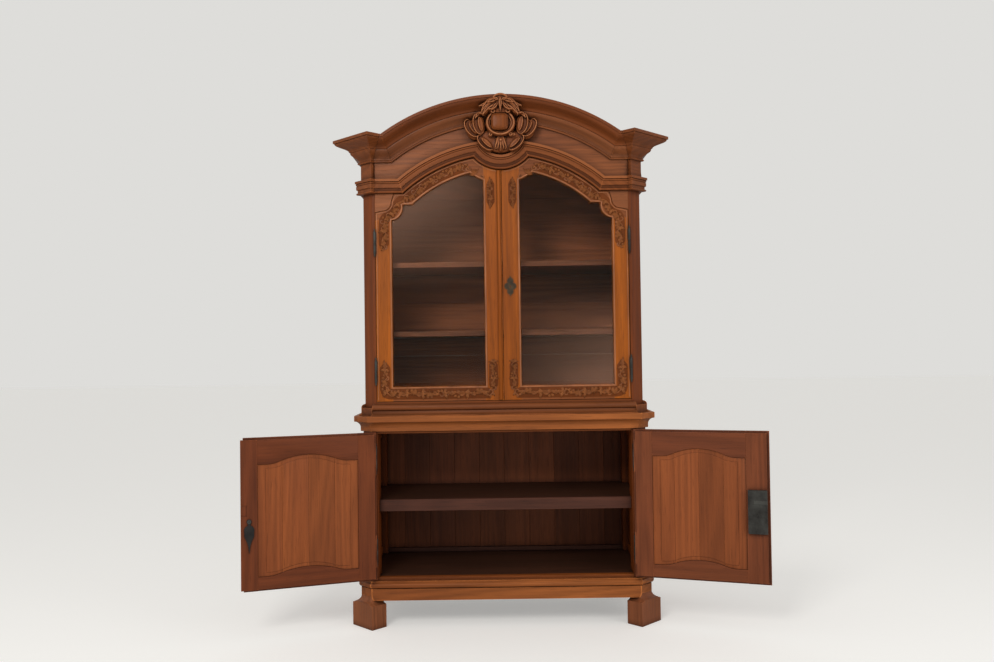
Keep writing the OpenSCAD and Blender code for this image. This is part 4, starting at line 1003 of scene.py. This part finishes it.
def stays_on_door(cut):
    for x, _, z in cut[0]:
        at_head = z > HEAD_START and x < EAR[0] - EAR_RADIUS
        past_head = at_head and math.dist((x, z), ARCH) > HEAD_RADIUS - HEAD_MARGIN
        if past_head or math.dist((x, z), EAR) < EAR_RADIUS + EAR_MARGIN:
            return False
    return True


print("cuts keep", HEAD_MARGIN, "mm from the arched edge and", EAR_MARGIN, "mm from the ear")

# %% The carving's wood and its borders
# line, width of the border, seed of its dice
borders = [(rail_line, 46, 1), (foot_line, 48, 5), (meeting_foot, 40, 8), (meeting_head, 36, 12)]
# The matted ground is painted darker: partly dirt, partly painted shade.
matted_shaded_oak = oak("oak_matted_shaded", paint(124, 65, 28), paint(88, 43, 18), "Z", rough=0.55, wear_and_highlight=0, dirt_and_shade=0.6,
                 figure=0.5, shine=0.1)
# The carving gets painted highlights on its tips and painted shade in its valleys, by height.
carving_oak = oak("oak_carving", paint(162, 93, 44), paint(116, 62, 28), "Z", rough=0.36, wear_and_highlight=0, dirt_and_shade=0.8,
                  shine=0.3, reach=0.005, tips=(0.0006, 0.0042), depth=0.7)
moulding_oak = oak("oak_bead", paint(164, 98, 54), paint(118, 65, 34), "Z", rough=0.36, wear_and_highlight=0.3,
                   shine=0.4)
print(len(borders), "borders on each door")

# %% Carve both glazed doors
FAN = (118, 2022)
FAN_LEAVES = 7
MOULDING_WIDTH, MOULDING_RISE = 7, 2.2
BEAD_WIDTH, BEAD_RISE = 4.5, 1.4

cuts = [cut for line, width, seed in borders for cut in rocaille(line, width, seed)
        if stays_on_door(cut)]
for n in range(FAN_LEAVES):
    cuts.append(leaf(*FAN, math.radians(20 * n - 6), 30 + 5 * math.sin(2.4 * n), 9, 0.25, 0.3))
cuts += [scroll(150, 2050, 2.2, 12, 1, 1.3, 4.6, 0.3), scroll(84, 2014, 1.0, 9, -1, 1.2, 4, 0.3)]
moulding, bead = sight_line(4), edge_line(8)
beads = [ribbon(moulding, [MOULDING_WIDTH] * len(moulding), MOULDING_RISE, closed=True),
         ribbon(bead, [BEAD_WIDTH] * len(bead), BEAD_RISE)]
for word, mirrored in (("left", True), ("right", False)):
    body = f"upper_{word}_door"
    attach(carved(f"upper_{word}_ground", [ground(*b[:2]) for b in borders], matted_shaded_oak, mirrored), body)
    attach(carved(f"upper_{word}_carving", cuts, carving_oak, mirrored), body)
    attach(carved(f"upper_{word}_moulding", beads, moulding_oak, mirrored), body)

# %% [markdown]
# ## The cartouche
# Over the middle of the arch sits a deeper carving, glued on: a plain shield in a scrolled ring,
# two shell-like lobes on each side, two pods below them with a ribbed neck between, and a tuft of
# leaves on top. The body and the lobes are rounded pads, and ribbons add the rims and the leaves.
# All of them reach deep into each other, ready to be melted together.

# %% Pads of the cartouche
def swollen(rise):
    return [(1.0, rise * 0.6), (0.98, rise * 0.75), (0.9, rise * 0.88), (0.72, rise * 0.97), (0.4, rise),
            (0.1, rise)]


def dished(rim, floor):
    return [(1.0, rim - 8), (0.97, rim - 3), (0.9, rim - 3), (0.82, floor + 2), (0.6, floor), (0.2, floor)]


MIDDLE = 2241
# height over the middle, half width, half height, rise, corners
BODY_PADS = [(0, 64, 58, 62, 44), (70, 72, 36, 80, 40), (-84, 66, 40, 38, 36), (97, 29, 27, 98, 24),
             (-84, 22, 38, 50, 24)]
# distance aside, height over the middle, half width, half height, rise
SIDE_PADS = [(112, -18, 42, 46, 36), (56, -62, 50, 36, 38)]

cuts = [pad(0, MIDDLE + up, wide, tall, swollen(high), around=around)
        for up, wide, tall, high, around in BODY_PADS]
for s in (-1, 1):
    cuts += [pad(s * x, MIDDLE + up, wide, tall, swollen(high)) for x, up, wide, tall, high in SIDE_PADS]
print(len(cuts), "pads")

# %% Lobes, ring and neck
DEEP = 22
# distance aside, height over the middle, half width, half height, lean, rise
LOBES = [(96, -2, 25, 46, 0.18, 58), (129, -18, 24, 44, 0.6, 47), (69, -84, 21, 43, 0.8, 46)]


def lobe(x, z, wide, tall, lean, hand, base):
    first, last = 90 + hand * 30, 90 - hand * 190
    inward = -hand * wide * 0.3
    return [pad(x, z, wide, tall, dished(base - 5, base - 9), lean, 32),
            bow(x, z, wide, tall, first, last, 6.5, base - 4, 13, DEEP, lean, 0.25),
            pad(x + inward, z, wide * 0.56, tall * 0.8, swollen(base + 3), lean, 24),
            bow(x + inward, z, wide * 0.34, tall * 0.66, first, last, 3.5, base - 1, 7, DEEP, lean, 0.2)]


for s in (-1, 1):
    for x, up, wide, tall, lean, base in LOBES:
        cuts += lobe(s * x, MIDDLE + up, wide, tall, -s * lean, s, base)
    cuts.append(bow(0, MIDDLE, 59, 52, 90 - s * 24, 90 - s * 196, 14, 62, 16, DEEP, ends=0.5, steps=28))
    cuts.append(bow(0, MIDDLE, 48, 43, 90 - s * 10, 90 - s * 190, 7, 62, 8, DEEP, ends=0.5, steps=28))
    cuts.append(scroll(s * 34, MIDDLE + 50, 1.6, 11, s, 1.3, 7, 74, 12, DEEP))
    cuts.append(scroll(s * 46, MIDDLE - 50, 2.0, 9, s, 1.2, 6, 60, 10, DEEP))
    cuts.append(bow(s * 34, MIDDLE - 86, 16, 48, 90 + s * 60, 90 + s * 125, 8, 42, 10, DEEP))
for n in range(-2, 3):
    cuts.append(leaf(n * 5, MIDDLE - 58, -math.pi / 2 + 0.13 * n, 62 - 3 * abs(n), 10, 0.05 * n, 50, 8,
                     DEEP, ROUND))
cuts += [pearl(0, MIDDLE - 74, 6, 56), pearl(58, MIDDLE - 50, 7, 54)]
print(len(cuts), "cuts with lobes")

# %% Crest of the cartouche
# distance aside, height over the middle, angle, length, width, curl, rise
CREST = [(14, 106, -0.2, 96, 28, -0.9, 84), (18, 88, -0.35, 84, 24, -0.7, 82),
         (16, 72, -0.55, 62, 20, 0.5, 82), (12, 84, -1.15, 44, 17, 0.5, 88),
         (20, 92, 0.1, 40, 20, -0.6, 92), (8, 94, 0.5, 26, 15, -0.5, 96),
         (52, 86, -0.6, 46, 18, 0.5, 80), (52, 58, -0.9, 52, 18, 1.0, 74),
         (84, 50, -0.4, 42, 16, -0.7, 58)]
LEAF_RISE = 14

for s in (-1, 1):
    for x, rise, angle, long, wide, curl, base in CREST:
        turn = angle if s > 0 else math.pi - angle
        cuts.append(leaf(s * x, MIDDLE + rise, turn, long, wide, s * curl, base, LEAF_RISE, DEEP))
cuts.append(leaf(0, MIDDLE + 104, -math.pi / 2, 58, 16, 0.0, 95, LEAF_RISE, DEEP))
cuts.append(bow(0, MIDDLE + 99, 30, 20, -25, 205, 12, 96, 9, DEEP))
# The cartouche gets painted highlights on its ridges and painted shade in its folds and corners.
cartouche_oak = oak("oak_cartouche", paint(150, 84, 42), paint(104, 52, 26), "Z", rough=0.4, wear_and_highlight=0,
                    dirt_and_shade=0.95, shine=0.15, reach=0.012, ridges=0.85)
cartouche = carved("carved_cartouche", cuts, cartouche_oak)

# %% [markdown]
# ## One skin
# The real cartouche is cut from a single block, so the pads and ribbons must not stay separate
# solids that poke through each other. A Remesh modifier wraps them in one closed skin of small
# squares, about two millimetres wide, and a light smoothing takes off its steps. Hollows shut in
# between the solids can become small bubbles inside, so only the largest island of the mesh is
# kept. The result is stored in the mesh, and the modifiers are cleared.

# %% Find the separate islands of a mesh
def islands(shape):
    left, found = set(shape.verts), []
    while left:
        fresh = [left.pop()]
        island = list(fresh)
        while fresh:
            vert = fresh.pop()
            near = {edge.other_vert(vert) for edge in vert.link_edges} & left
            left -= near
            fresh += near
            island += near
        found.append(island)
    return sorted(found, key=len)


# %% Melt the cuts into one skin
VOXEL = 0.0021


def melt(piece, voxel):
    remesh = piece.modifiers.new("melt", "REMESH")
    remesh.mode = "VOXEL"
    remesh.voxel_size = voxel
    calm = piece.modifiers.new("calm", "SMOOTH")
    calm.factor, calm.iterations = 0.5, 1
    shape = bmesh.new()
    shape.from_object(piece, bpy.context.evaluated_depsgraph_get())
    bubbles = [vert for island in islands(shape)[:-1] for vert in island]
    bmesh.ops.delete(shape, geom=bubbles, context="VERTS")
    piece.modifiers.clear()
    shape.to_mesh(piece.data)
    shape.free()
    count = len(piece.data.polygons)
    piece.data.polygons.foreach_set("use_smooth", [True] * count)
    print(piece.name, "melted to", count, "faces,", len(bubbles), "points of bubbles removed")


melt(cartouche, VOXEL)
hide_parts("cartouche")
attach(cartouche, "cabinet")

# %% [markdown]
# ## The shield
# The middle of the ring holds a square cushion with stepped edges, which once may have carried a
# coat of arms. It stays a piece of its own, because melting would blur its crisp steps.

# %% The shield
TABLET = [(1.0, 70), (0.97, 79), (0.93, 81), (0.86, 80), (0.80, 83), (0.74, 84), (0.3, 85)]

shield_oak = oak("oak_shield", paint(138, 72, 22), paint(106, 51, 15), "Z", rough=0.4, wear_and_highlight=0.2,
                 figure=0.6)
cushion = pad(-4, MIDDLE + 3, 38, 38, TABLET, around=40, square=0.4)
shield = carved("carved_shield", [cushion], shield_oak)
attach(shield, "cabinet")

# %% Finish
print("finished")
